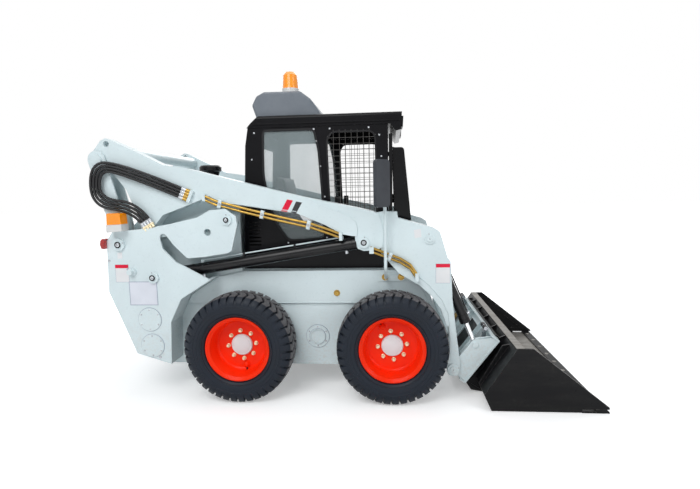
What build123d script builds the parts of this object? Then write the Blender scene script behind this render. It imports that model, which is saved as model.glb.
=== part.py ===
"""Skid steer loader: a wheeled loader with vertical-lift arms and a dirt bucket.

Millimetres. +X points at the bucket, +Y to the machine's left, +Z up, ground at z = 0.
Side outlines are drawn on SIDE, whose origin is on the ground under the front axle:
its first coordinate runs forward from the front axle and its second is the height.
SIDE faces the machine's right, so SIDE.offset(d) is the plane at y = -d.
Most pieces are drawn on the right and mirrored to the left.
"""
from build123d import *
import os

os.makedirs("parts", exist_ok=True)

# ---- overall layout -------------------------------------------------------------
FRONT_AXLE_X = 360.0
WHEELBASE = 1068.0
TYRE_RADIUS = 384.0
TYRE_WIDTH = 264.0
TYRE_OUTER_Y = 835.0
BODY_HALF_WIDTH = 545.0
CAB_HALF_WIDTH = 450.0
BUCKET_HALF_WIDTH = 862.0
SHEET = 8.0
RUN = 0.05
SEAT_GAP = 0.3

SIDE = Plane(origin=(FRONT_AXLE_X, 0, 0), x_dir=(1, 0, 0), z_dir=(0, -1, 0))

# ---- pivots of the lift linkage (forward of the front axle, height) --------------
LINK_FRAME_PIN = (-1907.0, 1115.0)
LINK_ARM_PIN = (-2042.0, 1710.0)
CONTROL_ARM_PIN = (-1720.0, 1185.0)
CONTROL_FRAME_PIN = (-1121.0, 1277.0)
LIFT_BASE_PIN = (-1671.0, 879.0)
LIFT_ROD_PIN = (-186.0, 1104.0)
TILT_BASE_PIN = (260.0, 1123.0)
TILT_ROD_PIN = (575.0, 378.0)
BUCKET_PIN = (420.0, 210.0)

# ---- layers across the machine, measured out from the centre plane ---------------
TOWER_INNER = (545.0, 560.0)
TOWER_OUTER = (715.0, 730.0)
LINK_INNER = (572.0, 584.0)
LINK_OUTER = (696.0, 708.0)
ARM_BOX = (590.0, 690.0)
LEG_BOX = (560.0, 670.0)
LEG_PLATE = 12.0
TILT_Y = 615.0
LIFT_Y = 640.0
EAR_WIDTH = 12.0

# ---- hinge lines of the two doors (forward of the front axle, y) and their heights -----
DOOR_AXIS = (30.0, 445.0)
DOOR_HINGES = (1345.0, 1765.0)
REAR_AXIS = (-2012.0, 533.0)
REAR_HINGES = (772.0, 1072.0)


def outline(points):
    """Fill a closed polygon where it is drawn."""
    return Polygon(*points, align=None)


def across(forward):
    """Plane square to the travel direction; its coordinates are (y, height)."""
    return Plane(origin=(FRONT_AXLE_X + forward, 0, 0), x_dir=(0, 1, 0), z_dir=(1, 0, 0))


def save(part, name):
    """Label a finished piece and write its file."""
    part.label = name
    export_step(part, "parts/" + name + ".step")


# ================================ wheels ==========================================
RIM_FLANGE_R = 226.5
RIM_SEAT_R = 209.0
RIM_OUTER_Y = 805.0
RIM_INNER_Y = 601.0
RIM_DISC_Y = 683.0
HUB_NOSE_R = 76.0
AXLE_R = 45.0
AXLE_INNER_Y = 532.0

WHEELS = (
    # name,          forward of the front axle, side
    ("front_right", 0.0, -1),
    ("front_left", 0.0, 1),
    ("rear_right", -WHEELBASE, -1),
    ("rear_left", -WHEELBASE, 1),
)

tyre_middle = TYRE_OUTER_Y - TYRE_WIDTH / 2
lip = RIM_OUTER_Y - tyre_middle
back = RIM_INNER_Y - tyre_middle
disc = RIM_DISC_Y - tyre_middle
shaft = AXLE_INNER_Y - tyre_middle

for wheel_name, forward, side in WHEELS:
    hub_x = FRONT_AXLE_X + forward
    # wheel sections: first coordinate outward from the tyre's middle, second the radius
    section = Plane(origin=(hub_x, side * tyre_middle, TYRE_RADIUS), x_dir=(0, side, 0), z_dir=(side, 0, 0))
    spin = Axis((hub_x, 0, TYRE_RADIUS), (0, 1, 0))

    with BuildPart() as tyre:
        with BuildSketch(section):
            with BuildLine():
                Polyline((-93.5, 209.3), (-93.5, 229), (-110, 236))
                ThreePointArc((-110, 236), (-132, 296), (-122, 350))
                ThreePointArc((-122, 350), (-114, 370), (-94, 378))
                ThreePointArc((-94, 378), (0, TYRE_RADIUS), (94, 378))
                ThreePointArc((94, 378), (114, 370), (122, 350))
                ThreePointArc((122, 350), (132, 296), (110, 236))
                Polyline((110, 236), (93.5, 229), (93.5, 209.3), (70, 209.3), (88, 240))
                ThreePointArc((88, 240), (106, 296), (90, 340))
                Line((90, 340), (-90, 340))
                ThreePointArc((-90, 340), (-106, 296), (-88, 240))
                Polyline((-88, 240), (-70, 209.3), (-93.5, 209.3))
            make_face()
        revolve(axis=spin)
    save(tyre.part, "tyre_" + wheel_name)

    with BuildPart() as rim:
        with BuildSketch(section):
            outline([
                (back, RIM_FLANGE_R - 4), (back, RIM_SEAT_R - 8), (back + 40, RIM_SEAT_R - 10),
                (back + 60, 186), (disc - 14, 186), (disc - 14, HUB_NOSE_R + SEAT_GAP),
                (disc, HUB_NOSE_R + SEAT_GAP), (disc, 170), (disc + 12, 184), (disc + 60, 190),
                (lip - 14, RIM_SEAT_R - 9), (lip, RIM_FLANGE_R - 8), (lip, RIM_FLANGE_R),
                (lip - 8, RIM_FLANGE_R), (lip - 8, RIM_SEAT_R), (disc + 72, RIM_SEAT_R),
                (disc + 54, RIM_SEAT_R - 8), (disc - 6, 194), (back + 66, 194),
                (back + 44, RIM_SEAT_R), (back + 8, RIM_SEAT_R), (back + 8, RIM_FLANGE_R - 4),
            ])
        revolve(axis=spin)
    save(rim.part, "rim_" + wheel_name)

    nose = disc + 16
    with BuildPart() as hub:
        with BuildSketch(section):
            outline([
                (shaft, 0), (nose, 0), (nose, HUB_NOSE_R - 6), (nose - 6, HUB_NOSE_R),
                (disc - 14 - SEAT_GAP, HUB_NOSE_R), (disc - 14 - SEAT_GAP, 150), (disc - 34, 150),
                (disc - 34, 84), (disc - 52, 84), (disc - 52, AXLE_R), (shaft, AXLE_R),
            ])
        revolve(axis=spin)
    save(hub.part, "hub_" + wheel_name)

with BuildPart() as axle_tubes:
    for wheel_name, forward, side in WHEELS[::2]:
        mouth = Plane(
            origin=(FRONT_AXLE_X + forward, -BODY_HALF_WIDTH, TYRE_RADIUS), x_dir=(1, 0, 0), z_dir=(0, -1, 0)
        )
        for tube_r, reach in ((88, 14), (66, 52)):
            with BuildSketch(mouth):
                Circle(tube_r)
                Circle(AXLE_R + RUN, mode=Mode.SUBTRACT)
            extrude(amount=reach)
    mirror(about=Plane.XZ)
save(axle_tubes.part, "axle_tubes")

# ============================ frame ==============================================
TUB_OUTLINE = [
    (-1845, 335), (-1984, 770), (-1975, 1150), (-1130, 1150), (-1130, 892),
    (112, 892), (230, 820), (300, 640), (300, 300), (200, 192), (-1640, 192),
]
RAIL_OUTLINE = [
    (-1508, 655), (262, 655), (196, 800), (112, 892), (-1078, 892), (-1080, 889), (-1257, 854),
    (-1475, 719),
]
RAIL_DEPTH = 15.0

with BuildPart() as main_frame:
    with BuildSketch(SIDE.offset(-BODY_HALF_WIDTH)):
        outline(TUB_OUTLINE)
    extrude(amount=2 * BODY_HALF_WIDTH)
    with BuildSketch(SIDE.offset(-BODY_HALF_WIDTH + SHEET)):
        outline(TUB_OUTLINE)
        offset(amount=-SHEET, kind=Kind.INTERSECTION, mode=Mode.REPLACE)
    extrude(amount=2 * (BODY_HALF_WIDTH - SHEET), mode=Mode.SUBTRACT)
    # mouth under the cab
    with BuildSketch(Plane.XY.offset(870)):
        with Locations((FRONT_AXLE_X - 520, 0)):
            Rectangle(1120, 880)
    extrude(amount=40, mode=Mode.SUBTRACT)
    # open top of the engine bay
    with BuildSketch(Plane.XY.offset(1130)):
        with Locations((FRONT_AXLE_X - 1552, 0)):
            Rectangle(800, 1000)
    extrude(amount=40, mode=Mode.SUBTRACT)
    # rear doorway
    with BuildSketch(SIDE.offset(-537)):
        outline([(-1900, 300), (-2020, 300), (-2020, 1160), (-1940, 1160), (-1950, 775), (-1815, 350)])
    extrude(amount=2 * 537, mode=Mode.SUBTRACT)
    # bulkhead between engine bay and cab
    with BuildSketch(across(-1130)):
        with Locations((0, 670)):
            Rectangle(2 * (BODY_HALF_WIDTH - SHEET), 956 - 2 * SHEET)
    extrude(amount=SHEET)
    # side rails above the tyres
    for low in (BODY_HALF_WIDTH, -BODY_HALF_WIDTH - RAIL_DEPTH):
        with BuildSketch(SIDE.offset(low)):
            outline(RAIL_OUTLINE)
        extrude(amount=RAIL_DEPTH)
    # openings for the wheel hubs
    for wheel_name, forward, side in WHEELS[::2]:
        centre = Plane(
            origin=(FRONT_AXLE_X + forward, 0, TYRE_RADIUS), x_dir=(1, 0, 0), z_dir=(0, -1, 0)
        )
        with Locations(centre):
            Cylinder(60, 2 * BODY_HALF_WIDTH + 40, mode=Mode.SUBTRACT)
save(main_frame.part, "main_frame")

# ---- round bolted covers of the chain case and the uprights ------------------------
COVERS = (
    # forward, height, radius, face depth from the centre plane
    (-543, 404, 84, BODY_HALF_WIDTH),
    (-1718, 576, 84, TOWER_OUTER[1]),
    (-1709, 385, 84, TOWER_OUTER[1]),
)
with BuildPart() as inspection_covers:
    for cover_x, cover_z, cover_r, face in COVERS:
        with BuildSketch(SIDE.offset(face)):
            with Locations((cover_x, cover_z)):
                Circle(cover_r)
        extrude(amount=5)
    with BuildSketch(SIDE.offset(BODY_HALF_WIDTH + 5)):
        with Locations((COVERS[0][0], COVERS[0][1])):
            Circle(58)
            Circle(50, mode=Mode.SUBTRACT)
    extrude(amount=6)
    mirror(about=Plane.XZ)
save(inspection_covers.part, "inspection_covers")

# ---- uprights: an outer and an inner plate each side, with their pins -------------
TOWER_OUTLINE = [
    (-1579, 249), (-1829, 325), (-2009, 775), (-1997, 1142), (-1951, 1205), (-1656, 1229),
    (-1330, 1296), (-1240, 1345), (-1130, 1352), (-1058, 1300), (-1050, 1240), (-1098, 1062),
    (-1130, 1046), (-1291, 1022), (-1401, 1014), (-1421, 1016), (-1509, 1106), (-1558, 1172),
    (-1572, 1186), (-1590, 1186), (-1604, 1176), (-1608, 1155), (-1592, 1083), (-1498, 984),
    (-1450, 960), (-1259, 858), (-1478, 723), (-1562, 556),
]
INNER_OUTLINE = [
    (-1579, 249), (-1829, 325), (-2009, 775), (-1997, 1142), (-1951, 1205), (-1656, 1229),
    (-1330, 1340), (-1120, 1440), (-1085, 1440), (-1085, 893), (-1259, 858), (-1478, 723),
    (-1562, 556),
]
LINER_OUTLINE = [
    (-1579, 249), (-1562, 556), (-1478, 723), (-1259, 858), (-1275, 866), (-1490, 733),
    (-1575, 562), (-1593, 253),
]
TOWER_BACK = [
    (-1579, 249), (-1829, 325), (-2009, 775), (-2002, 985), (-1990, 985), (-1997, 777),
    (-1821, 335), (-1580, 261),
]
STUB_INNER = 590.0
STUB_OUTER = 690.0
FRAME_PINS = (
    # pin centre, pin radius, boss radius, stretches of the pin across the machine
    (LINK_FRAME_PIN, 24.0, 44.0, ((TOWER_INNER[0], TOWER_OUTER[1]),)),
    (CONTROL_FRAME_PIN, 20.0, 36.0, ((TOWER_INNER[0], STUB_INNER), (STUB_OUTER, TOWER_OUTER[1]))),
    (LIFT_BASE_PIN, 22.0, 40.0, ((TOWER_INNER[0], TOWER_OUTER[1]),)),
)
STOP_PIN = (-1824.0, 922.0)

with BuildPart() as uprights:
    with BuildSketch(SIDE.offset(TOWER_OUTER[0])):
        outline(TOWER_OUTLINE)
        with Locations((-1263, 1193)):
            Circle(24, mode=Mode.SUBTRACT)
    extrude(amount=TOWER_OUTER[1] - TOWER_OUTER[0])
    with BuildSketch(SIDE.offset(TOWER_INNER[0])):
        outline(INNER_OUTLINE)
    extrude(amount=TOWER_INNER[1] - TOWER_INNER[0])
    # the wheel arch liner and the closed back join the two plates
    with BuildSketch(SIDE.offset(TOWER_INNER[0])):
        outline(LINER_OUTLINE)
        outline(TOWER_BACK)
    extrude(amount=TOWER_OUTER[1] - TOWER_INNER[0])
    for centre, pin_r, boss_r, stretches in FRAME_PINS:
        for low, high in stretches:
            with BuildSketch(SIDE.offset(low)):
                with Locations(centre):
                    Circle(pin_r)
            extrude(amount=high - low)
        with BuildSketch(SIDE.offset(TOWER_OUTER[1])):
            with Locations(centre):
                Circle(boss_r)
        extrude(amount=14)
        with BuildSketch(SIDE.offset(TOWER_OUTER[1])):
            with Locations(centre):
                Circle(pin_r)
        extrude(amount=22)
    with BuildSketch(SIDE.offset(TOWER_OUTER[1])):
        with Locations(STOP_PIN):
            Circle(30)
    extrude(amount=12)
    with BuildSketch(SIDE.offset(TOWER_OUTER[1])):
        with Locations(STOP_PIN):
            Circle(19)
    extrude(amount=44)
    mirror(about=Plane.XZ)
    # lower knuckles of the rear door's hinges, on the left inner plate
    for height in REAR_HINGES:
        with Locations((FRONT_AXLE_X + REAR_AXIS[0], REAR_AXIS[1], height)):
            Cylinder(9, 30, align=(Align.CENTER, Align.CENTER, Align.MIN))
        with Locations((FRONT_AXLE_X + REAR_AXIS[0] + 6, 542, height)):
            Box(18, 14, 30, align=(Align.CENTER, Align.CENTER, Align.MIN))
save(uprights.part, "uprights")

# ---- rear links --------------------------------------------------------------------
LINK_PLATE = [
    (-1950, 1106), (-1968, 1200), (-2104, 1700), (-2042, 1710), (-1981, 1722), (-1907, 1430),
    (-1868, 1200), (-1862, 1120), (-1907, 1115),
]
with BuildPart() as rear_links:
    for low, high in (LINK_INNER, LINK_OUTER):
        with BuildSketch(SIDE.offset(low)):
            outline(LINK_PLATE)
            with Locations(LINK_ARM_PIN):
                Circle(62)
            with Locations(LINK_FRAME_PIN):
                Circle(46)
                Circle(24 + RUN, mode=Mode.SUBTRACT)
        extrude(amount=high - low)
    # box webs along the two edges
    with BuildSketch(SIDE.offset(LINK_INNER[0])):
        outline([(-1972, 1215), (-2060, 1540), (-2048, 1540), (-1960, 1215)])
        outline([(-1880, 1215), (-1912, 1400), (-1924, 1398), (-1892, 1215)])
    extrude(amount=LINK_OUTER[1] - LINK_INNER[0])
    with BuildSketch(SIDE.offset(LINK_INNER[0])):
        with Locations(LINK_ARM_PIN):
            Circle(26)
    extrude(amount=LINK_OUTER[1] - LINK_INNER[0])
    with BuildSketch(SIDE.offset(LINK_OUTER[1])):
        with Locations(LINK_ARM_PIN):
            Circle(40)
    extrude(amount=9)
    mirror(about=Plane.XZ)
save(rear_links.part, "rear_links")

# ---- control links -----------------------------------------------------------------
CONTROL_BAR = [(-1714, 1144), (-1115, 1238), (-1121, 1277), (-1127, 1316), (-1726, 1226), (-1720, 1185)]
with BuildPart() as control_links:
    for low, high in (LINK_INNER, LINK_OUTER):
        with BuildSketch(SIDE.offset(low)):
            outline(CONTROL_BAR)
            with Locations(CONTROL_ARM_PIN):
                Circle(42)
            with Locations(CONTROL_FRAME_PIN):
                Circle(40)
                Circle(20 + RUN, mode=Mode.SUBTRACT)
        extrude(amount=high - low)
    mirror(about=Plane.XZ)
save(control_links.part, "control_links")

# ---- lift arms ---------------------------------------------------------------------
ARM_OUTLINE = [
    (-2042, 1648), (-2104, 1706), (-2072, 1770), (-2016, 1838), (-1976, 1858), (-1930, 1840),
    (-1735, 1746), (-1571, 1661), (-1400, 1633), (-608, 1425), (-290, 1290), (-240, 1250),
    (-226, 1205), (-230, 1150), (-262, 1150), (-330, 1163), (-449, 1229), (-637, 1310),
    (-1156, 1393), (-1246, 1440), (-1595, 1315), (-1672, 1225), (-1672, 1170), (-1690, 1148),
    (-1720, 1140), (-1752, 1150), (-1768, 1185), (-1755, 1260), (-1850, 1500), (-1960, 1640),
]
KNEE_OUTLINE = [
    (-640, 1433), (-608, 1425), (-217, 1341), (-110, 1312), (-78, 1290), (-50, 1180), (-58, 1075),
    (-90, 1052), (-186, 1046), (-228, 1062), (-242, 1104), (-246, 1150), (-330, 1172), (-449, 1238),
    (-637, 1320),
]
KNEE_BOX = (572.0, 682.0)
ARM_CAVITY = [
    (-1850, 1640), (-1850, 1740), (-1735, 1688), (-1569, 1649), (-1400, 1621), (-608, 1413),
    (-330, 1296), (-449, 1243), (-633, 1323), (-1152, 1405), (-1246, 1453), (-1600, 1330),
    (-1720, 1290), (-1800, 1480),
]
HAND_HOLES = ((-1640, 1480), (-1180, 1490), (-760, 1396))
ROD_POCKET = [(-300, 1000), (-300, 1150), (-250, 1180), (-150, 1180), (-112, 1140), (-112, 1000)]
LEG_OUTLINE = [
    (-110, 1304), (-45, 1312), (42, 1310), (48, 1268), (289, 1196), (329, 1169), (382, 991),
    (402, 967), (414, 700), (446, 420), (468, 240), (466, 190), (448, 166), (420, 158),
    (392, 166), (376, 190), (378, 240), (398, 330), (400, 430), (388, 520), (350, 640),
    (280, 740), (200, 815), (60, 900), (-70, 1050),
]
LEG_TOP_WEB = [
    (-110, 1304), (-45, 1312), (42, 1310), (48, 1268), (289, 1196), (284, 1184), (40, 1256),
    (20, 1298), (-110, 1292),
]
LEG_BACK_WEB = [
    (-70, 1050), (60, 900), (200, 815), (280, 740), (350, 640), (388, 520), (376, 515),
    (338, 634), (270, 730), (190, 803), (50, 888), (-70, 1030),
]

with BuildPart() as lift_arms:
    with BuildSketch(SIDE.offset(ARM_BOX[0])):
        outline(ARM_OUTLINE)
        with Locations((-1972, 1817)):
            Circle(20, mode=Mode.SUBTRACT)
        with Locations(LINK_ARM_PIN):
            Circle(26 + RUN, mode=Mode.SUBTRACT)
    extrude(amount=ARM_BOX[1] - ARM_BOX[0])
    with BuildSketch(SIDE.offset(KNEE_BOX[0])):
        outline(KNEE_OUTLINE)
    extrude(amount=KNEE_BOX[1] - KNEE_BOX[0])
    # the arm is a welded box, with hand holes in its inner plate
    with BuildSketch(SIDE.offset(ARM_BOX[0] + SHEET)):
        outline(ARM_CAVITY)
    extrude(amount=ARM_BOX[1] - ARM_BOX[0] - 2 * SHEET, mode=Mode.SUBTRACT)
    with BuildSketch(SIDE.offset(ARM_BOX[0] - 1)):
        for hole in HAND_HOLES:
            with Locations(hole):
                SlotOverall(150, 60, rotation=-14)
    extrude(amount=SHEET + 2, mode=Mode.SUBTRACT)
    # room for the lift rod's eye between the knee plates
    with BuildSketch(SIDE.offset(LIFT_Y - 35)):
        outline(ROD_POCKET)
    extrude(amount=70, mode=Mode.SUBTRACT)
    for low in (LEG_BOX[0], LEG_BOX[1] - LEG_PLATE):
        with BuildSketch(SIDE.offset(low)):
            outline(LEG_OUTLINE)
        extrude(amount=LEG_PLATE)
    with BuildSketch(SIDE.offset(LEG_BOX[0])):
        outline(LEG_TOP_WEB)
        outline(LEG_BACK_WEB)
    extrude(amount=LEG_BOX[1] - LEG_BOX[0])
    for pin, pin_r, boss_r in ((TILT_BASE_PIN, 20.0, 36.0), (BUCKET_PIN, 22.0, 40.0)):
        with BuildSketch(SIDE.offset(LEG_BOX[0])):
            with Locations(pin):
                Circle(pin_r)
        extrude(amount=LEG_BOX[1] - LEG_BOX[0] + 16)
        with BuildSketch(SIDE.offset(LEG_BOX[1])):
            with Locations(pin):
                Circle(boss_r)
        extrude(amount=9)
    # ends of the lift rod's pin
    with BuildSketch(SIDE.offset(KNEE_BOX[1])):
        with Locations(LIFT_ROD_PIN):
            Circle(38)
    extrude(amount=12)
    mirror(about=Plane.XZ)
save(lift_arms.part, "lift_arms")

CROSS_TUBES = (
    # forward, height, outer radius, wall, inner faces of the arms that it joins
    (-1905, 1762, 46.0, 8.0, ARM_BOX[0]),
    (424, 420, 36.0, 6.0, LEG_BOX[0]),
)
with BuildPart() as arm_crossbars:
    for forward, height, tube_r, wall, face in CROSS_TUBES:
        half = face - SEAT_GAP
        with BuildSketch(SIDE.offset(-half)):
            with Locations((forward, height)):
                Circle(tube_r)
                Circle(tube_r - wall, mode=Mode.SUBTRACT)
        extrude(amount=2 * half)
save(arm_crossbars.part, "arm_crossbars")


# ---- steel pipes under each arm, with their clamps -----------------------------------
PIPE_R = 9.0
PIPE_Y = 702.0
PIPE_PITCH = 26.0
ARM_PIPE = [
    (-1290, 1446), (-1202, 1406), (-1013, 1354), (-757, 1289), (-537, 1238), (-418, 1196), (-335, 1164),
]
LEG_PIPE = [(-142, 1072), (-43, 1034), (59, 994), (128, 950), (176, 876)]
LEG_PIPE_Y = 692.5
PIPE_BLOCKS = (
    # corners of a junction block, face that it stands on
    ([(-1296, 1406), (-1274, 1406), (-1274, 1458), (-1296, 1458)], ARM_BOX[1]),
    ([(-352, 1122), (-330, 1122), (-330, 1180), (-352, 1180)], ARM_BOX[1]),
    ([(-148, 1030), (-118, 1030), (-118, 1075), (-148, 1075)], KNEE_BOX[1]),
    ([(160, 836), (184, 836), (184, 892), (160, 892)], KNEE_BOX[1]),
)
# ---- hoses from the arm over the rear pivot to the upright ----------------------------
HOSE_R = 10.2
HOSE_LANES = (-31.5, -10.5, 10.5, 31.5)
HOSE_BEND = 112.0
HOSE_SLOPE = 0.0643
HOSE_SPLIT_Y = 745.0
HOSE_UPPER = [(-1420, 1458), (-1885, 1664), (-2040, 1645), (-2040, 1520)]
HOSE_LOWER = [(-2040, 1520), (-2040, 1410), (-1760, 1374), (-1690, 1250)]
hose_sheet = Plane(
    origin=(FRONT_AXLE_X + HOSE_UPPER[-1][0], -HOSE_SPLIT_Y, 0),
    x_dir=(1, HOSE_SLOPE, 0), z_dir=(HOSE_SLOPE, -1, 0),
)


def hose_lane(route, shift):
    """A route's corner points, moved sideways by shift in the sheet of the hoses."""
    corners = [Vector(x - HOSE_UPPER[-1][0], z) for x, z in route]
    runs = [(b - a).normalized() for a, b in zip(corners, corners[1:])]
    moved = []
    for index, corner in enumerate(corners):
        before = runs[max(index - 1, 0)]
        after = runs[min(index, len(runs) - 1)]
        miter = Vector(before.Y + after.Y, -before.X - after.X)
        miter = miter * (2 / (miter.X ** 2 + miter.Y ** 2))
        spot = corner + miter * shift
        moved.append(hose_sheet.from_local_coords((spot.X, spot.Y, 0)))
    return moved


def hoses(route, name):
    """Four hoses side by side along a route, on both sides of the machine."""
    with BuildPart() as bundle:
        for shift in HOSE_LANES:
            with BuildLine() as run:
                FilletPolyline(*hose_lane(route, shift), radius=HOSE_BEND + shift)
            with BuildSketch(Plane(origin=run.line @ 0, z_dir=run.line % 0)):
                Circle(HOSE_R)
            sweep(path=run.line)
        mirror(about=Plane.XZ)
    save(bundle.part, name)


hoses(HOSE_UPPER, "hoses_upper")
hoses(HOSE_LOWER, "hoses_lower")

# ---- steel pipes with their fittings ---------------------------------------------------
FITTING_BLOCK = [(-1409.6, 1406.2), (-1389.5, 1397.3), (-1354.7, 1475.9), (-1374.8, 1484.8)]

with BuildPart() as arm_pipes:
    for route, depth in ((ARM_PIPE, PIPE_Y), (LEG_PIPE, LEG_PIPE_Y)):
        for drop in (0, PIPE_PITCH):
            lane = SIDE.offset(depth)
            spots = [lane.from_local_coords((x, z - drop, 0)) for x, z in route]
            with BuildLine() as run:
                FilletPolyline(*spots, radius=28)
            with BuildSketch(Plane(origin=run.line @ 0, z_dir=run.line % 0)):
                Circle(PIPE_R)
            sweep(path=run.line)
    # swivel fittings where the hoses start, and the block that they meet
    for shift in HOSE_LANES:
        lane = hose_lane(HOSE_UPPER, shift)
        with BuildSketch(Plane(origin=lane[0], z_dir=lane[0] - lane[1])):
            Circle(HOSE_R + 2.5)
        extrude(amount=30)
    mirror(about=Plane.XZ)
save(arm_pipes.part, "arm_pipes")

with BuildPart() as pipe_brackets:
    for corners, face in PIPE_BLOCKS:
        with BuildSketch(SIDE.offset(face + SEAT_GAP)):
            outline(corners)
        extrude(amount=PIPE_Y + PIPE_R + 2 - face)
    for route, depth in ((ARM_PIPE, PIPE_Y), (LEG_PIPE, LEG_PIPE_Y)):
        for drop in (0, PIPE_PITCH):
            lane = SIDE.offset(depth)
            spots = [lane.from_local_coords((x, z - drop, 0)) for x, z in route]
            with BuildLine() as run:
                FilletPolyline(*spots, radius=28)
            with BuildSketch(Plane(origin=run.line @ 0, z_dir=run.line % 0)):
                Circle(PIPE_R + RUN)
            sweep(path=run.line, mode=Mode.SUBTRACT)
    with BuildSketch(SIDE.offset(ARM_BOX[1] + SEAT_GAP)):
        outline(FITTING_BLOCK)
    extrude(amount=24)
    mirror(about=Plane.XZ)
save(pipe_brackets.part, "pipe_brackets")

# ---- lift cylinders --------------------------------------------------------------------
LIFT_BARREL_R = 42.0
LIFT_BORE_R = 34.0
LIFT_ROD_R = 22.0
LIFT_HEAD = 1425.0
LIFT_LENGTH = 1501.95
RETURN_R = 5.0
RETURN_RISE = LIFT_BARREL_R + 15.0
RETURN_SPAN = (330.0, 1366.0)
PIPE_BANDS = (640.0, 1010.0)
lift_dir = Vector(LIFT_ROD_PIN[0] - LIFT_BASE_PIN[0], 0, LIFT_ROD_PIN[1] - LIFT_BASE_PIN[1]).normalized()
lift_base = Vector(FRONT_AXLE_X + LIFT_BASE_PIN[0], -LIFT_Y, LIFT_BASE_PIN[1])


def lift_at(distance):
    """Plane square to the lift cylinder, this far from its base pin."""
    return Plane(origin=lift_base + lift_dir * distance, x_dir=(0, 1, 0), z_dir=lift_dir)


with BuildPart() as lift_barrels:
    with BuildSketch(lift_at(30)):
        Circle(LIFT_BARREL_R)
    extrude(amount=LIFT_HEAD - 30)
    with BuildSketch(SIDE.offset(LIFT_Y - 42)):
        with Locations(LIFT_BASE_PIN):
            Circle(44)
    extrude(amount=84)
    with BuildSketch(SIDE.offset(LIFT_Y - 50)):
        with Locations(LIFT_BASE_PIN):
            Circle(22 + RUN)
    extrude(amount=100, mode=Mode.SUBTRACT)
    with BuildSketch(lift_at(76)):
        Circle(LIFT_BORE_R)
    extrude(amount=LIFT_HEAD - 76 - 40, mode=Mode.SUBTRACT)
    with BuildSketch(lift_at(LIFT_HEAD - 60)):
        Circle(LIFT_ROD_R + RUN)
    extrude(amount=70, mode=Mode.SUBTRACT)
    # bands that hold the return pipe
    for along in PIPE_BANDS:
        with BuildSketch(lift_at(along)):
            Circle(LIFT_BARREL_R + 2)
            Circle(LIFT_BARREL_R - 1, mode=Mode.SUBTRACT)
            with Locations((0, LIFT_BARREL_R + 10)):
                Rectangle(14, 22)
            with Locations((0, RETURN_RISE)):
                Circle(RETURN_R + RUN, mode=Mode.SUBTRACT)
        extrude(amount=16)
    # gland nut and the weld collar at the base
    for start, length, proud in ((LIFT_HEAD - 46, 40, 4.0), (64, 22, 3.0)):
        with BuildSketch(lift_at(start)):
            Circle(LIFT_BARREL_R + proud)
            Circle(LIFT_BARREL_R - 1, mode=Mode.SUBTRACT)
        extrude(amount=length)
    mirror(about=Plane.XZ)
save(lift_barrels.part, "lift_barrels")

with BuildPart() as lift_rods:
    with BuildSketch(lift_at(700)):
        Circle(LIFT_ROD_R)
    extrude(amount=LIFT_LENGTH - 700 - 20)
    with BuildSketch(lift_at(700)):
        Circle(LIFT_BORE_R - 0.1)
    extrude(amount=34)
    with BuildSketch(SIDE.offset(LIFT_Y - 26)):
        with Locations(LIFT_ROD_PIN):
            Circle(37)
    extrude(amount=52)
    mirror(about=Plane.XZ)
save(lift_rods.part, "lift_rods")

# thin return pipe along the top of each lift barrel, held by two bands
with BuildPart() as lift_pipes:
    with BuildSketch(lift_at(RETURN_SPAN[0])):
        with Locations((0, RETURN_RISE)):
            Circle(RETURN_R)
    extrude(amount=RETURN_SPAN[1] - RETURN_SPAN[0])
    # ports that stand on the barrel
    for along in (RETURN_SPAN[0], RETURN_SPAN[1] - 20):
        with BuildSketch(lift_at(along)):
            with Locations((0, LIFT_BARREL_R + 11 + SEAT_GAP)):
                Rectangle(22, 22)
        extrude(amount=20)
    mirror(about=Plane.XZ)
save(lift_pipes.part, "lift_pipes")

# ---- tilt cylinders --------------------------------------------------------------------
TILT_BARREL_R = 34.0
TILT_BORE_R = 27.0
TILT_ROD_R = 16.0
TILT_HEAD = 622.0
TILT_LENGTH = 808.86
tilt_dir = Vector(TILT_ROD_PIN[0] - TILT_BASE_PIN[0], 0, TILT_ROD_PIN[1] - TILT_BASE_PIN[1]).normalized()
tilt_base = Vector(FRONT_AXLE_X + TILT_BASE_PIN[0], -TILT_Y, TILT_BASE_PIN[1])


def tilt_at(distance):
    """Plane square to the tilt cylinder, this far from its base pin."""
    return Plane(origin=tilt_base + tilt_dir * distance, x_dir=(0, 1, 0), z_dir=tilt_dir)


with BuildPart() as tilt_barrels:
    with BuildSketch(tilt_at(24)):
        Circle(TILT_BARREL_R)
    extrude(amount=TILT_HEAD - 24)
    with BuildSketch(SIDE.offset(TILT_Y - 34)):
        with Locations(TILT_BASE_PIN):
            Circle(36)
    extrude(amount=68)
    with BuildSketch(SIDE.offset(TILT_Y - 40)):
        with Locations(TILT_BASE_PIN):
            Circle(20 + RUN)
    extrude(amount=80, mode=Mode.SUBTRACT)
    with BuildSketch(tilt_at(60)):
        Circle(TILT_BORE_R)
    extrude(amount=TILT_HEAD - 60 - 34, mode=Mode.SUBTRACT)
    with BuildSketch(tilt_at(TILT_HEAD - 50)):
        Circle(TILT_ROD_R + RUN)
    extrude(amount=60, mode=Mode.SUBTRACT)
    with BuildSketch(tilt_at(TILT_HEAD - 40)):
        Circle(TILT_BARREL_R + 3)
        Circle(TILT_BARREL_R - 1, mode=Mode.SUBTRACT)
    extrude(amount=34)
    mirror(about=Plane.XZ)
save(tilt_barrels.part, "tilt_barrels")

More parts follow.
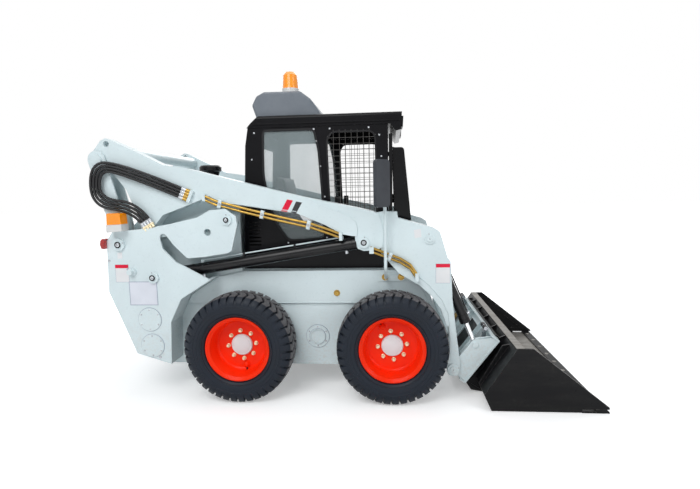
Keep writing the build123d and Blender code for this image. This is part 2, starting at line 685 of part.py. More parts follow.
with BuildPart() as tilt_rods:
    with BuildSketch(tilt_at(190)):
        Circle(TILT_ROD_R)
    extrude(amount=TILT_LENGTH - 190 - 16)
    with BuildSketch(tilt_at(190)):
        Circle(TILT_BORE_R - 0.1)
    extrude(amount=26)
    with BuildSketch(SIDE.offset(TILT_Y - 14)):
        with Locations(TILT_ROD_PIN):
            Circle(30)
    extrude(amount=28)
    mirror(about=Plane.XZ)
save(tilt_rods.part, "tilt_rods")

# ---- quick-attach frame --------------------------------------------------------------
ATTACH_HALF_WIDTH = 650.0
ATTACH_PLATE = 12.0
EAR_LAYERS = (585.0, 633.0)
ATTACH_LOW = Vector(505, 99)
ATTACH_HIGH = Vector(740, 405)
attach_run = (ATTACH_HIGH - ATTACH_LOW).normalized()
attach_back = Vector(-attach_run.Y, attach_run.X)
attach_length = (ATTACH_HIGH - ATTACH_LOW).length


def attach_point(along, behind):
    """A point by distance up the quick-attach face and distance behind it."""
    spot = ATTACH_LOW + attach_run * along + attach_back * behind
    return (spot.X, spot.Y)


def attach_strip(start, end, near, far):
    """Corners of a strip lying along the quick-attach face."""
    corners = ((start, near), (end, near), (end, far), (start, far))
    return [attach_point(along, behind) for along, behind in corners]


EAR_OUTLINE = [
    attach_point(2, 4), attach_point(380, 4), attach_point(380, 40), (600, 412),
    (552, 404), (470, 300), (384, 236), (388, 186), (440, 166), (500, 120),
]
ATTACH_WINDOWS = ((-395, 150), (0, 330), (395, 150))
LATCH_Y = 500.0

with BuildPart() as quick_attach:
    with BuildSketch(SIDE.offset(-ATTACH_HALF_WIDTH)):
        outline(attach_strip(0, attach_length, 0, ATTACH_PLATE))
        outline(attach_strip(attach_length - 12, attach_length, 0, 62))
        outline(attach_strip(0, 12, 0, 50))
    extrude(amount=2 * ATTACH_HALF_WIDTH)
    # sight windows
    for middle, width in ATTACH_WINDOWS:
        with BuildSketch(SIDE.offset(middle - width / 2)):
            outline(attach_strip(74, 316, -10, 30))
        extrude(amount=width, mode=Mode.SUBTRACT)
    # ears that carry the arm and the tilt rod
    for low in EAR_LAYERS:
        with BuildSketch(SIDE.offset(low)):
            outline(EAR_OUTLINE)
            with Locations(BUCKET_PIN):
                Circle(36)
                Circle(22 + RUN, mode=Mode.SUBTRACT)
            with Locations(TILT_ROD_PIN):
                Circle(34)
        extrude(amount=EAR_WIDTH)
    for low in (EAR_LAYERS[0] - 9, EAR_LAYERS[1] + EAR_WIDTH):
        with BuildSketch(SIDE.offset(low)):
            with Locations(TILT_ROD_PIN):
                Circle(21)
        extrude(amount=9)
    # ribs between the flanges
    for rib_y in (200, 300):
        with BuildSketch(SIDE.offset(rib_y)):
            outline(attach_strip(0, attach_length, 0, 46))
        extrude(amount=10)
    mirror(about=Plane.XZ)
save(quick_attach.part, "quick_attach")

with BuildPart() as latch_levers:
    # sliding wedge, spring sleeve and turned handle
    with BuildSketch(SIDE.offset(LATCH_Y - 20)):
        outline(attach_strip(20, 300, ATTACH_PLATE + SEAT_GAP, ATTACH_PLATE + 22))
    extrude(amount=40)
    with BuildSketch(SIDE.offset(LATCH_Y - 9)):
        outline([
            attach_point(250, 30), attach_point(312, 30), attach_point(400, 92),
            attach_point(398, 112), attach_point(380, 112), attach_point(296, 56), attach_point(250, 56),
        ])
    extrude(amount=18)
    with BuildSketch(SIDE.offset(LATCH_Y - 60)):
        with Locations(attach_point(388, 100)):
            Circle(14)
    extrude(amount=120)
    mirror(about=Plane.XZ)
save(latch_levers.part, "latch_levers")

# ---- bucket ------------------------------------------------------------------------------
BUCKET_PLATE = 10.0
MOUNT_HALF_WIDTH = 560.0
MOUNT_GAP = 1.0
LIP_TOP = 26.0
BUCKET_SIDE = [
    (642, 4), (596, 111), (802, 423), (906, 423), (1384, 39), (1384, LIP_TOP), (1215, LIP_TOP), (1215, 4),
]
SIDE_STRIP = [(802, 423), (906, 423), (1384, 39), (1384, LIP_TOP), (1330, LIP_TOP), (890, 380), (774, 380)]
TIP_BLOCK = [(1190, LIP_TOP), (1384, LIP_TOP), (1384, 39), (1350, 66), (1190, 66)]
BUCKET_SHELL = [
    (1300, 4), (642, 4), (596, 111), (802, 423), (812, 417), (608, 110), (649, 14), (1300, 14),
]
MOUNT_RIBS = (-560, -290, -6, 278, 548)
GUSSET_Y = 700.0
GUSSET = [(602, 119), (790, 404), (742, 396), (588, 130)]

with BuildPart() as bucket:
    with BuildSketch(SIDE.offset(-BUCKET_HALF_WIDTH)):
        outline(BUCKET_SHELL)
        outline([(798, 423), (846, 423), (846, 413), (798, 413)])
    extrude(amount=2 * BUCKET_HALF_WIDTH)
    for low in (BUCKET_HALF_WIDTH - BUCKET_PLATE, -BUCKET_HALF_WIDTH):
        with BuildSketch(SIDE.offset(low)):
            outline(BUCKET_SIDE)
        extrude(amount=BUCKET_PLATE)
    # stiffening strip along each side's top edge
    for low in (BUCKET_HALF_WIDTH - BUCKET_PLATE - 8, -BUCKET_HALF_WIDTH + BUCKET_PLATE):
        with BuildSketch(SIDE.offset(low)):
            outline(SIDE_STRIP)
            outline(TIP_BLOCK)
        extrude(amount=8)
    # mounting plate with its hooked top and its foot
    with BuildSketch(SIDE.offset(-MOUNT_HALF_WIDTH)):
        outline(attach_strip(2, attach_length - 2, -MOUNT_GAP, -MOUNT_GAP - 10))
        outline([attach_point(2, -1), attach_point(2, -11), (640, 12), (642, 4), (560, 18)])
        outline(attach_strip(attach_length + 1, attach_length + 9, -11, 20))
    extrude(amount=2 * MOUNT_HALF_WIDTH)
    for rib_y in MOUNT_RIBS:
        with BuildSketch(SIDE.offset(rib_y)):
            outline([attach_point(2, -8), attach_point(384, -8), (798, 420), (604, 115), (640, 14)])
        extrude(amount=12)
    # gussets outboard of the mounting plate
    for rib_y in (-GUSSET_Y - 12, GUSSET_Y):
        with BuildSketch(SIDE.offset(rib_y)):
            outline(GUSSET)
        extrude(amount=12)
save(bucket.part, "bucket")

with BuildPart() as cutting_edge:
    with BuildSketch(SIDE.offset(-BUCKET_HALF_WIDTH)):
        outline([
            (1215, 0), (1384, 0), (1384, 10), (1366, LIP_TOP - SEAT_GAP), (1300.3, LIP_TOP - SEAT_GAP),
            (1300.3, 4 - SEAT_GAP), (1215, 4 - SEAT_GAP),
        ])
    extrude(amount=2 * BUCKET_HALF_WIDTH)
save(cutting_edge.part, "cutting_edge")

# ================================ cab =====================================================
CAB_SHEET = 6.0
CAB_TOP = 1925.0
CAB_BASE = 892.3
POST_WIDTH = 40.0
CAB_OUTLINE = [
    (-1099, CAB_BASE), (-1069, 1540), (-1055, 1800), (-1032, CAB_TOP), (-13, CAB_TOP), (-20, 1279),
    (20, 1160), (106.5, CAB_BASE),
]
REAR_WALL = [
    (-1099, CAB_BASE), (-1069, 1540), (-1055, 1800), (-1032, CAB_TOP), (-1022, CAB_TOP), (-1047, 1800),
    (-1061, 1540), (-1091, CAB_BASE),
]
FRONT_POST = [
    (-66, CAB_TOP), (-13, CAB_TOP), (-20, 1279), (20, 1160), (106.5, CAB_BASE), (50, CAB_BASE), (-72, 1270),
]
REAR_PANE = [
    (-925, 1908), (-543, 1908), (-511, 1756), (-490, 1411), (-480, 1110), (-760, 1098),
    (-855, 1241), (-905, 1420), (-931, 1587),
]
FRONT_PANE = [(-458, 1825), (-420, 1884), (-127, 1884), (-101, 1840), (-92, 1316), (-120, 1180), (-440, 1180)]
PANE_R = 30.0
PANE_LAP = 14.0
GLASS = 5.0
LOUVRES = 7

with BuildPart() as cab_frame:
    for low in (CAB_HALF_WIDTH - CAB_SHEET, -CAB_HALF_WIDTH):
        with BuildSketch(SIDE.offset(low)):
            outline(CAB_OUTLINE)
        extrude(amount=CAB_SHEET)
    for pane in (REAR_PANE, FRONT_PANE):
        with BuildSketch(SIDE.offset(-CAB_HALF_WIDTH - 20)) as window:
            outline(pane)
            fillet(window.vertices(), PANE_R)
        extrude(amount=2 * CAB_HALF_WIDTH + 40, mode=Mode.SUBTRACT)
    with BuildSketch(SIDE.offset(-CAB_HALF_WIDTH - 20)):
        with Locations((-1010, 1155)):
            with GridLocations(1, 28, 1, LOUVRES):
                Rectangle(90, 10)
    extrude(amount=2 * CAB_HALF_WIDTH + 40, mode=Mode.SUBTRACT)
    # rear wall, header over the door and floor
    with BuildSketch(SIDE.offset(-CAB_HALF_WIDTH)):
        outline(REAR_WALL)
        outline([(-66, CAB_TOP), (-13, CAB_TOP), (-14, 1862), (-66, 1862)])
        outline([(-1099, 900), (104, 900), (102, 906), (-1099, 906)])
    extrude(amount=2 * CAB_HALF_WIDTH)
    with BuildSketch(across(-1130)) as rear_opening:
        with Locations((0, 1660)):
            Rectangle(740, 320)
        fillet(rear_opening.vertices(), PANE_R)
    extrude(amount=160, mode=Mode.SUBTRACT)
    for low in (CAB_HALF_WIDTH - POST_WIDTH, -CAB_HALF_WIDTH):
        with BuildSketch(SIDE.offset(low)):
            outline(FRONT_POST)
        extrude(amount=POST_WIDTH)
    # footwell
    with BuildSketch(Plane.XY.offset(890)):
        with Locations((FRONT_AXLE_X - 184, 0)):
            Rectangle(420, 840)
    extrude(amount=30, mode=Mode.SUBTRACT)
    with BuildSketch(SIDE.offset(-430)):
        outline([
            (32, 906), (32, 560), (-400, 560), (-400, 906), (-394, 906), (-394, 566), (26, 566), (26, 906),
        ])
    extrude(amount=860)
    for low in (-430, 424):
        with BuildSketch(SIDE.offset(low)):
            outline([(32, 906), (32, 560), (-400, 560), (-400, 906)])
        extrude(amount=6)
    # leaves and lower knuckles of the door hinges, on the left post
    for height in DOOR_HINGES:
        with Locations((FRONT_AXLE_X - 8, 452.5, height)):
            Box(76, 5, 40, align=(Align.CENTER, Align.CENTER, Align.MIN))
        with Locations((FRONT_AXLE_X + DOOR_AXIS[0], DOOR_AXIS[1], height)):
            Cylinder(10, 40, align=(Align.CENTER, Align.CENTER, Align.MIN))
save(cab_frame.part, "cab_frame")

with BuildPart() as cab_roof:
    with BuildSketch(SIDE.offset(-CAB_HALF_WIDTH - 6)):
        outline([
            (-1038, CAB_TOP + SEAT_GAP), (-1012, 1956), (-950, 2011), (87, 2011), (80, 1884), (44, 1875),
            (4, CAB_TOP + SEAT_GAP),
        ])
    extrude(amount=2 * CAB_HALF_WIDTH + 12)
    fillet(cab_roof.edges().filter_by(Axis.X).group_by(Axis.Z)[-1], 22)
    with BuildSketch(SIDE.offset(-CAB_HALF_WIDTH + 30)):
        outline([(-990, 1880), (-990, 1950), (-940, 1985), (-60, 1985), (-60, 1880)])
    extrude(amount=2 * CAB_HALF_WIDTH - 60, mode=Mode.SUBTRACT)
save(cab_roof.part, "cab_roof")

REAR_GLASS = [
    (-1063.5, 1480), (-1060.7, 1540), (-1046.7, 1800), (-1040.2, 1832), (-1035.2, 1832),
    (-1041.7, 1800), (-1055.7, 1540), (-1058.5, 1480),
]
with BuildPart() as cab_glass:
    with BuildSketch(SIDE.offset(CAB_HALF_WIDTH - CAB_SHEET - GLASS)) as side_pane:
        outline(REAR_PANE)
        fillet(side_pane.vertices(), PANE_R)
        offset(amount=PANE_LAP, mode=Mode.REPLACE)
    extrude(amount=GLASS)
    mirror(about=Plane.XZ)
    with BuildSketch(SIDE.offset(-390)):
        outline(REAR_GLASS)
    extrude(amount=780)
save(cab_glass.part, "cab_glass")

with BuildPart() as side_guards:
    with BuildSketch(SIDE.offset(CAB_HALF_WIDTH - CAB_SHEET - 4)) as guard:
        outline(FRONT_PANE)
        fillet(guard.vertices(), PANE_R)
        offset(amount=PANE_LAP, mode=Mode.REPLACE)
        with Locations((-275, 1530)):
            with GridLocations(43, 48, 8, 14):
                Rectangle(38, 43, mode=Mode.SUBTRACT)
    extrude(amount=4)
    mirror(about=Plane.XZ)
save(side_guards.part, "side_guards")

# ---- front door -----------------------------------------------------------------------
DOOR_HALF_WIDTH = 438.0
DOOR_SIDE = [
    (-8, 1858), (-14, 1279), (26, 1162), (94, 950), (122, 958), (52, 1172), (12, 1285), (18, 1858),
]
DOOR_BEZEL = [(18, 1764), (100, 1764), (150, 1220), (30, 1220)]
DOOR_BEZEL_HALF = 405.0
DOOR_WINDOW_HALF = 362.0
DOOR_WINDOWS = (
    # height of the middle, height of the opening, corner radius
    (1492.0, 470.0, 48.0),
    (1078.0, 160.0, 30.0),
)

with BuildPart() as cab_door:
    with BuildSketch(SIDE.offset(-DOOR_HALF_WIDTH)):
        outline(DOOR_SIDE)
    extrude(amount=2 * DOOR_HALF_WIDTH)
    # raised rounded frame around the window
    with BuildSketch(SIDE.offset(-DOOR_BEZEL_HALF)) as bezel:
        outline(DOOR_BEZEL)
        fillet(bezel.vertices().sort_by(Axis.X)[-2:], 24)
    extrude(amount=2 * DOOR_BEZEL_HALF)
    for height, tall, corner in DOOR_WINDOWS:
        with BuildSketch(across(-60)) as door_opening:
            with Locations((0, height)):
                Rectangle(2 * DOOR_WINDOW_HALF, tall)
            fillet(door_opening.vertices(), corner)
        extrude(amount=260, mode=Mode.SUBTRACT)
    # upper knuckles of the hinges
    for height in DOOR_HINGES:
        with Locations((FRONT_AXLE_X + DOOR_AXIS[0], DOOR_AXIS[1], height + 40.5)):
            Cylinder(10, 40, align=(Align.CENTER, Align.CENTER, Align.MIN))
        with Locations((FRONT_AXLE_X + 18, 432, height + 40.5)):
            Box(24, 22, 40, align=(Align.CENTER, Align.CENTER, Align.MIN))
save(cab_door.part, "cab_door")

with BuildPart() as door_glass:
    for height, tall, corner in DOOR_WINDOWS:
        with BuildSketch(across(-60)) as door_pane:
            with Locations((0, height)):
                Rectangle(2 * (DOOR_WINDOW_HALF - SEAT_GAP), tall - 2 * SEAT_GAP)
            fillet(door_pane.vertices(), corner)
        extrude(amount=260)
    with BuildSketch(SIDE.offset(-DOOR_HALF_WIDTH)):
        outline([(64, 1750), (113, 1230), (118, 1230), (69, 1750)])
        outline([(38, 1170), (98, 980), (103, 980), (43, 1170)])
    extrude(amount=2 * DOOR_HALF_WIDTH, mode=Mode.INTERSECT)
save(door_glass.part, "door_glass")

# ---- seat and controls -------------------------------------------------------------------
SEAT_HALF_WIDTH = 235.0
with BuildPart() as seat_base:
    with BuildSketch(SIDE.offset(-SEAT_HALF_WIDTH)):
        outline([(-820, 906.3), (-440, 906.3), (-415, 1010), (-868, 1010)])
        outline([(-868, 1000), (-856, 1000), (-898, 1500), (-910, 1500)])
    extrude(amount=2 * SEAT_HALF_WIDTH)
save(seat_base.part, "seat_base")

with BuildPart() as seat_cushion:
    with BuildSketch(SIDE.offset(-SEAT_HALF_WIDTH)) as cushion:
        outline([(-845, 1010.3), (-410, 1010.3), (-392, 1050), (-402, 1096), (-700, 1090), (-846, 1086)])
    extrude(amount=2 * SEAT_HALF_WIDTH)
    with BuildSketch(SIDE.offset(-SEAT_HALF_WIDTH + 10)) as backrest:
        outline([(-862.4, 1092), (-760, 1096), (-790, 1330), (-812, 1560), (-850, 1600), (-905, 1590)])
    extrude(amount=2 * SEAT_HALF_WIDTH - 20)
save(seat_cushion.part, "seat_cushion")

CONSOLE_Y = (262.0, 425.0)
LEVER_X = -395.0
with BuildPart() as consoles:
    with BuildSketch(SIDE.offset(CONSOLE_Y[0])):
        outline([(-880, 906.3), (-420, 906.3), (-350, 1180), (-380, 1215), (-880, 1190)])
    extrude(amount=CONSOLE_Y[1] - CONSOLE_Y[0])
    for low, radius, length in ((1200.0, 9.0, 140.0), (1330.0, 21.0, 90.0)):
        with Locations((FRONT_AXLE_X + LEVER_X, -0.5 * (CONSOLE_Y[0] + CONSOLE_Y[1]), low)):
            Cylinder(radius, length, align=(Align.CENTER, Align.CENTER, Align.MIN))
    mirror(about=Plane.XZ)
save(consoles.part, "consoles")

# ---- roof fittings ------------------------------------------------------------------------
POD_HALF_WIDTH = 400.0
with BuildPart() as aircon_pod:
    with BuildSketch(SIDE.offset(-POD_HALF_WIDTH)) as pod:
        outline([
            (-981, 2011.3), (-1009, 2097), (-974, 2161), (-916, 2190), (-648, 2187), (-574, 2131),
            (-510, 2040), (-500, 2011.3),
        ])
        fillet(pod.vertices().group_by(Axis.Y)[1:], 30)
    extrude(amount=2 * POD_HALF_WIDTH)
    chamfer(aircon_pod.faces().filter_by(Axis.Y).edges().group_by(Axis.Z)[-1], 14)
save(aircon_pod.part, "aircon_pod")

LAMP_Y = 300.0
with BuildPart() as front_lamps:
    with BuildSketch(SIDE.offset(LAMP_Y - 75)):
        outline([(82.0, 1915), (85.9, 1985), (94, 1979), (91, 1919)])
    extrude(amount=150)
    mirror(about=Plane.XZ)
save(front_lamps.part, "front_lamps")

BEACON_X = -735.0
BEACON_Y = -300.0
BEACON_BASE_LOW = 2189.0
BEACON_BASE_TOP = 2222.0
with BuildPart() as beacons:
    # roof beacon
    with Locations((FRONT_AXLE_X + BEACON_X, BEACON_Y, BEACON_BASE_TOP + SEAT_GAP)):
        Cone(59, 52, 98, align=(Align.CENTER, Align.CENTER, Align.MIN))
        with Locations((0, 0, 98)):
            Cone(52, 34, 22, align=(Align.CENTER, Align.CENTER, Align.MIN))
    # lamps on the uprights
    for side in (718.0, -808.0):
        with BuildSketch(SIDE.offset(side + 3)) as lamp:
            outline([(-1941, 1258.6), (-1838, 1262.6), (-1842, 1338), (-1938, 1338)])
            fillet(lamp.vertices().group_by(Axis.Y)[-1], 12)
        extrude(amount=84)
save(beacons.part, "beacons")

with BuildPart() as beacon_bases:
    with Locations((FRONT_AXLE_X + BEACON_X, BEACON_Y, BEACON_BASE_LOW)):
        Cylinder(62, BEACON_BASE_TOP - BEACON_BASE_LOW, align=(Align.CENTER, Align.CENTER, Align.MIN))
    for side in (718.0, -808.0):
        with BuildSketch(SIDE.offset(side)):
            outline([(-1945, 1205.8), (-1835, 1214.8), (-1835, 1262), (-1945, 1258)])
        extrude(amount=90)
save(beacon_bases.part, "beacon_bases")

with BuildPart() as tail_lights:
    with BuildSketch(SIDE.offset(716)):
        outline([
            (-1999.4, 1088), (-1997.6, 1141), (-1990, 1158), (-2008, 1160), (-2022, 1146), (-2026, 1118),
            (-2018, 1092),
        ])
    extrude(amount=50)
    mirror(about=Plane.XZ)
save(tail_lights.part, "tail_lights")

# ---- mirrors ---------------------------------------------------------------------------
MIRROR_TUBE_R = 11.0
MIRROR_Y = 736.0
MIRROR_FOOT = (-39.0, 846.0)
MIRROR_HEAD = (-57.0, -793.0)
with BuildPart() as mirror_arms:
    with BuildSketch(SIDE.offset(BODY_HALF_WIDTH + RAIL_DEPTH)):
        outline([(-98, 812), (92, 812), (92, 848), (78, 862), (-98, 862)])
    extrude(amount=6)
    foot = Vector(FRONT_AXLE_X + MIRROR_FOOT[0], -BODY_HALF_WIDTH - RAIL_DEPTH, MIRROR_FOOT[1])
    with BuildLine() as stalk:
        FilletPolyline(
            foot,
            foot + (0, -60, 0),
            Vector(foot.X, -MIRROR_Y, 930),
            Vector(foot.X, -MIRROR_Y, 1500),
            radius=34,
        )
    with BuildSketch(Plane(origin=stalk.line @ 0, z_dir=stalk.line % 0)):
        Circle(MIRROR_TUBE_R)
    sweep(path=stalk.line)
    mirror(about=Plane.XZ)
save(mirror_arms.part, "mirror_arms")

with BuildPart() as mirrors:
    head = Plane(
        origin=(FRONT_AXLE_X + MIRROR_HEAD[0], MIRROR_HEAD[1], 1500), x_dir=(1, 1, 0), z_dir=(1, -1, 0)
    )
    with BuildSketch(head.offset(-15)) as shell:
        Rectangle(122, 308)
        fillet(shell.vertices(), 26)
    extrude(amount=30)
    # socket that grips the tube
    with Locations((foot.X, -MIRROR_Y - 15, 1420)):
        Box(28, 36, 40)
    with Locations((foot.X, -MIRROR_Y, 1420)):
        Cylinder(MIRROR_TUBE_R + SEAT_GAP, 60, mode=Mode.SUBTRACT)
    mirror(about=Plane.XZ)
save(mirrors.part, "mirrors")

# ---- engine bay -----------------------------------------------------------------------
with BuildPart() as engine_block:
    with BuildSketch(SIDE.offset(-260)):
        outline([(-1600, 200.3), (-1200, 200.3), (-1200, 980), (-1760, 980), (-1760, 330)])
    extrude(amount=520)
save(engine_block.part, "engine_block")

HOOD_HALF_WIDTH = 530.0
HOOD_SHEET = 6.0
with BuildPart() as engine_hood:
    with BuildSketch(SIDE.offset(-HOOD_HALF_WIDTH)):
        outline([
            (-1960, 1150.3), (-1960, 1180), (-1700, 1440), (-1140, 1440), (-1120, 1400), (-1120, 1150.3),
        ])
    extrude(amount=2 * HOOD_HALF_WIDTH)
    with BuildSketch(SIDE.offset(-HOOD_HALF_WIDTH + HOOD_SHEET)):
        outline([(-1954, 1140), (-1954, 1178), (-1697, 1434), (-1144, 1434), (-1126, 1398), (-1126, 1140)])
    extrude(amount=2 * (HOOD_HALF_WIDTH - HOOD_SHEET), mode=Mode.SUBTRACT)
    # air slots in the top
    with BuildSketch(Plane.XY.offset(1400)):
        with Locations((FRONT_AXLE_X - 1330, 0)):
            with GridLocations(36, 430, 7, 2):
                SlotOverall(380, 16, rotation=90)
    extrude(amount=80, mode=Mode.SUBTRACT)
save(engine_hood.part, "engine_hood")

EXHAUST_X = -1500.0
with BuildPart() as exhaust_stack:
    with BuildSketch(Plane(origin=(FRONT_AXLE_X + EXHAUST_X, 0, 0), x_dir=(1, 0, 0), z_dir=(0, -1, 0))):
        outline([
            (0, 1440.3), (52, 1440.3), (52, 1560), (74, 1640), (90, 1650), (90, 1680), (78, 1694), (0, 1694),
        ])
    revolve(axis=Axis((FRONT_AXLE_X + EXHAUST_X, 0, 0), (0, 0, 1)))
save(exhaust_stack.part, "exhaust_stack")

DOOR_PANEL = [(-1850, 345), (-2009, 775), (-1999, 1140), (-1974, 1140), (-1983, 777), (-1827, 352)]
with BuildPart() as rear_door:
    with BuildSketch(SIDE.offset(-530)):
        outline(DOOR_PANEL)
    extrude(amount=1060)
    # air louvres
    with BuildSketch(across(-2060)):
        with Locations((0, 930)):
            with GridLocations(470, 30, 2, 10):
                SlotOverall(420, 13)
    extrude(amount=120, mode=Mode.SUBTRACT)
    for height in REAR_HINGES:
        with Locations((FRONT_AXLE_X + REAR_AXIS[0], REAR_AXIS[1], height - 1)):
            Box(26, 26, 32, align=(Align.CENTER, Align.CENTER, Align.MIN), mode=Mode.SUBTRACT)
        with Locations((FRONT_AXLE_X + REAR_AXIS[0], REAR_AXIS[1], height + 30.5)):
            Cylinder(9, 30, align=(Align.CENTER, Align.CENTER, Align.MIN))
        with Locations((FRONT_AXLE_X - 1999, 520, height + 30.5)):
            Box(24, 20, 30, align=(Align.CENTER, Align.CENTER, Align.MIN))
save(rear_door.part, "rear_door")
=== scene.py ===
"""Adds tyres, bolts, glass, hoses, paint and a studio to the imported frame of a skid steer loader."""

import math

import bmesh
import bpy
from bpy.props import FloatProperty, FloatVectorProperty, IntProperty, PointerProperty
from mathutils import Matrix, Vector


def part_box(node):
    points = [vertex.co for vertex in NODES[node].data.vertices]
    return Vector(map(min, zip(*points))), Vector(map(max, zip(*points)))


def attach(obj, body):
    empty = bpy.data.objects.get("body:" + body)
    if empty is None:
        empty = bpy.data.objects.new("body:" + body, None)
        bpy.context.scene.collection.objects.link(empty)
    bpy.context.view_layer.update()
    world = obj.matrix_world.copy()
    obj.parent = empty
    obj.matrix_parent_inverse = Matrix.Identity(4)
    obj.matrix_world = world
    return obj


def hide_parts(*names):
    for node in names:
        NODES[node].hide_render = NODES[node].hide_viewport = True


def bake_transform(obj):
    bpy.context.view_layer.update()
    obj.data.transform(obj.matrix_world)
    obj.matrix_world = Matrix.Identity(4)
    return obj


bl_info = {
    "name": "Skid steer loader finish",
    "version": (1, 0, 0),
    "blender": (4, 5, 0),
    "location": "View3D > Sidebar > Loader",
    "description": "Adds tyres, fittings, hoses, paint and a studio to the packed skid steer loader",
    "category": "Object",
}

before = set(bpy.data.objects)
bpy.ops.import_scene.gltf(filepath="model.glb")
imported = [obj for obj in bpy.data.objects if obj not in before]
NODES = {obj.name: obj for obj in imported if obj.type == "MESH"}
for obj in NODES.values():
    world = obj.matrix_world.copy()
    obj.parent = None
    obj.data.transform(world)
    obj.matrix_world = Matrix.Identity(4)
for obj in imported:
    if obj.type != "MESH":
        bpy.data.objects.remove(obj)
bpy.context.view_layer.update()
tyre_low, tyre_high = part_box("tyre_front_right")
rear_low, rear_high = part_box("tyre_rear_right")
AXLE_X = (tyre_low.x + tyre_high.x) / 2
WHEELBASE = AXLE_X - (rear_low.x + rear_high.x) / 2
TYRE_R = (tyre_high.z - tyre_low.z) / 2
TYRE_MIDDLE = -(tyre_low.y + tyre_high.y) / 2

MM = 0.001
AHEAD = Vector((1, 0, 0))
RIGHT = Vector((0, -1, 0))
UP = Vector((0, 0, 1))
SIDES = (-1, 1)


def spot(forward, across, height):
    """A point given in millimetres forward of the front axle, to the left, and above the ground."""
    return Vector((AXLE_X + forward * MM, across * MM, height * MM))


def on_right(forward, across, height):
    """A point on the right side, its distance across given outward from the middle."""
    return spot(forward, -across, height)


def ray(turn):
    """The direction in the side view at that many degrees, 0 forward and 90 up."""
    return Vector((math.cos(math.radians(turn)), 0, math.sin(math.radians(turn))))


def turns(count, start=0.0):
    """Angles in degrees that share a full turn evenly."""
    return [start + 360 * index / count for index in range(count)]


def stepped(points, step):
    """Points (forward, height) along a broken line, about that many millimetres apart."""
    line = []
    for (x0, z0), (x1, z1) in zip(points, points[1:]):
        steps = max(2, int(math.hypot(x1 - x0, z1 - z0) / step))
        line += [(x0 + (x1 - x0) * i / steps, z0 + (z1 - z0) * i / steps) for i in range(steps)]
    return line


def round_rectangle(low, high, radius, steps):
    """Points round a rectangle whose corners are arcs about the corners of low to high."""
    points = []
    for index, (a, b) in enumerate((low, (high[0], low[1]), high, (low[0], high[1]))):
        for step in range(steps):
            turn = math.pi / 2 * (2 + index + step / (steps - 1))
            points.append((a + radius * math.cos(turn), b + radius * math.sin(turn)))
    return points


# ---- meshes ---------------------------------------------------------------------------

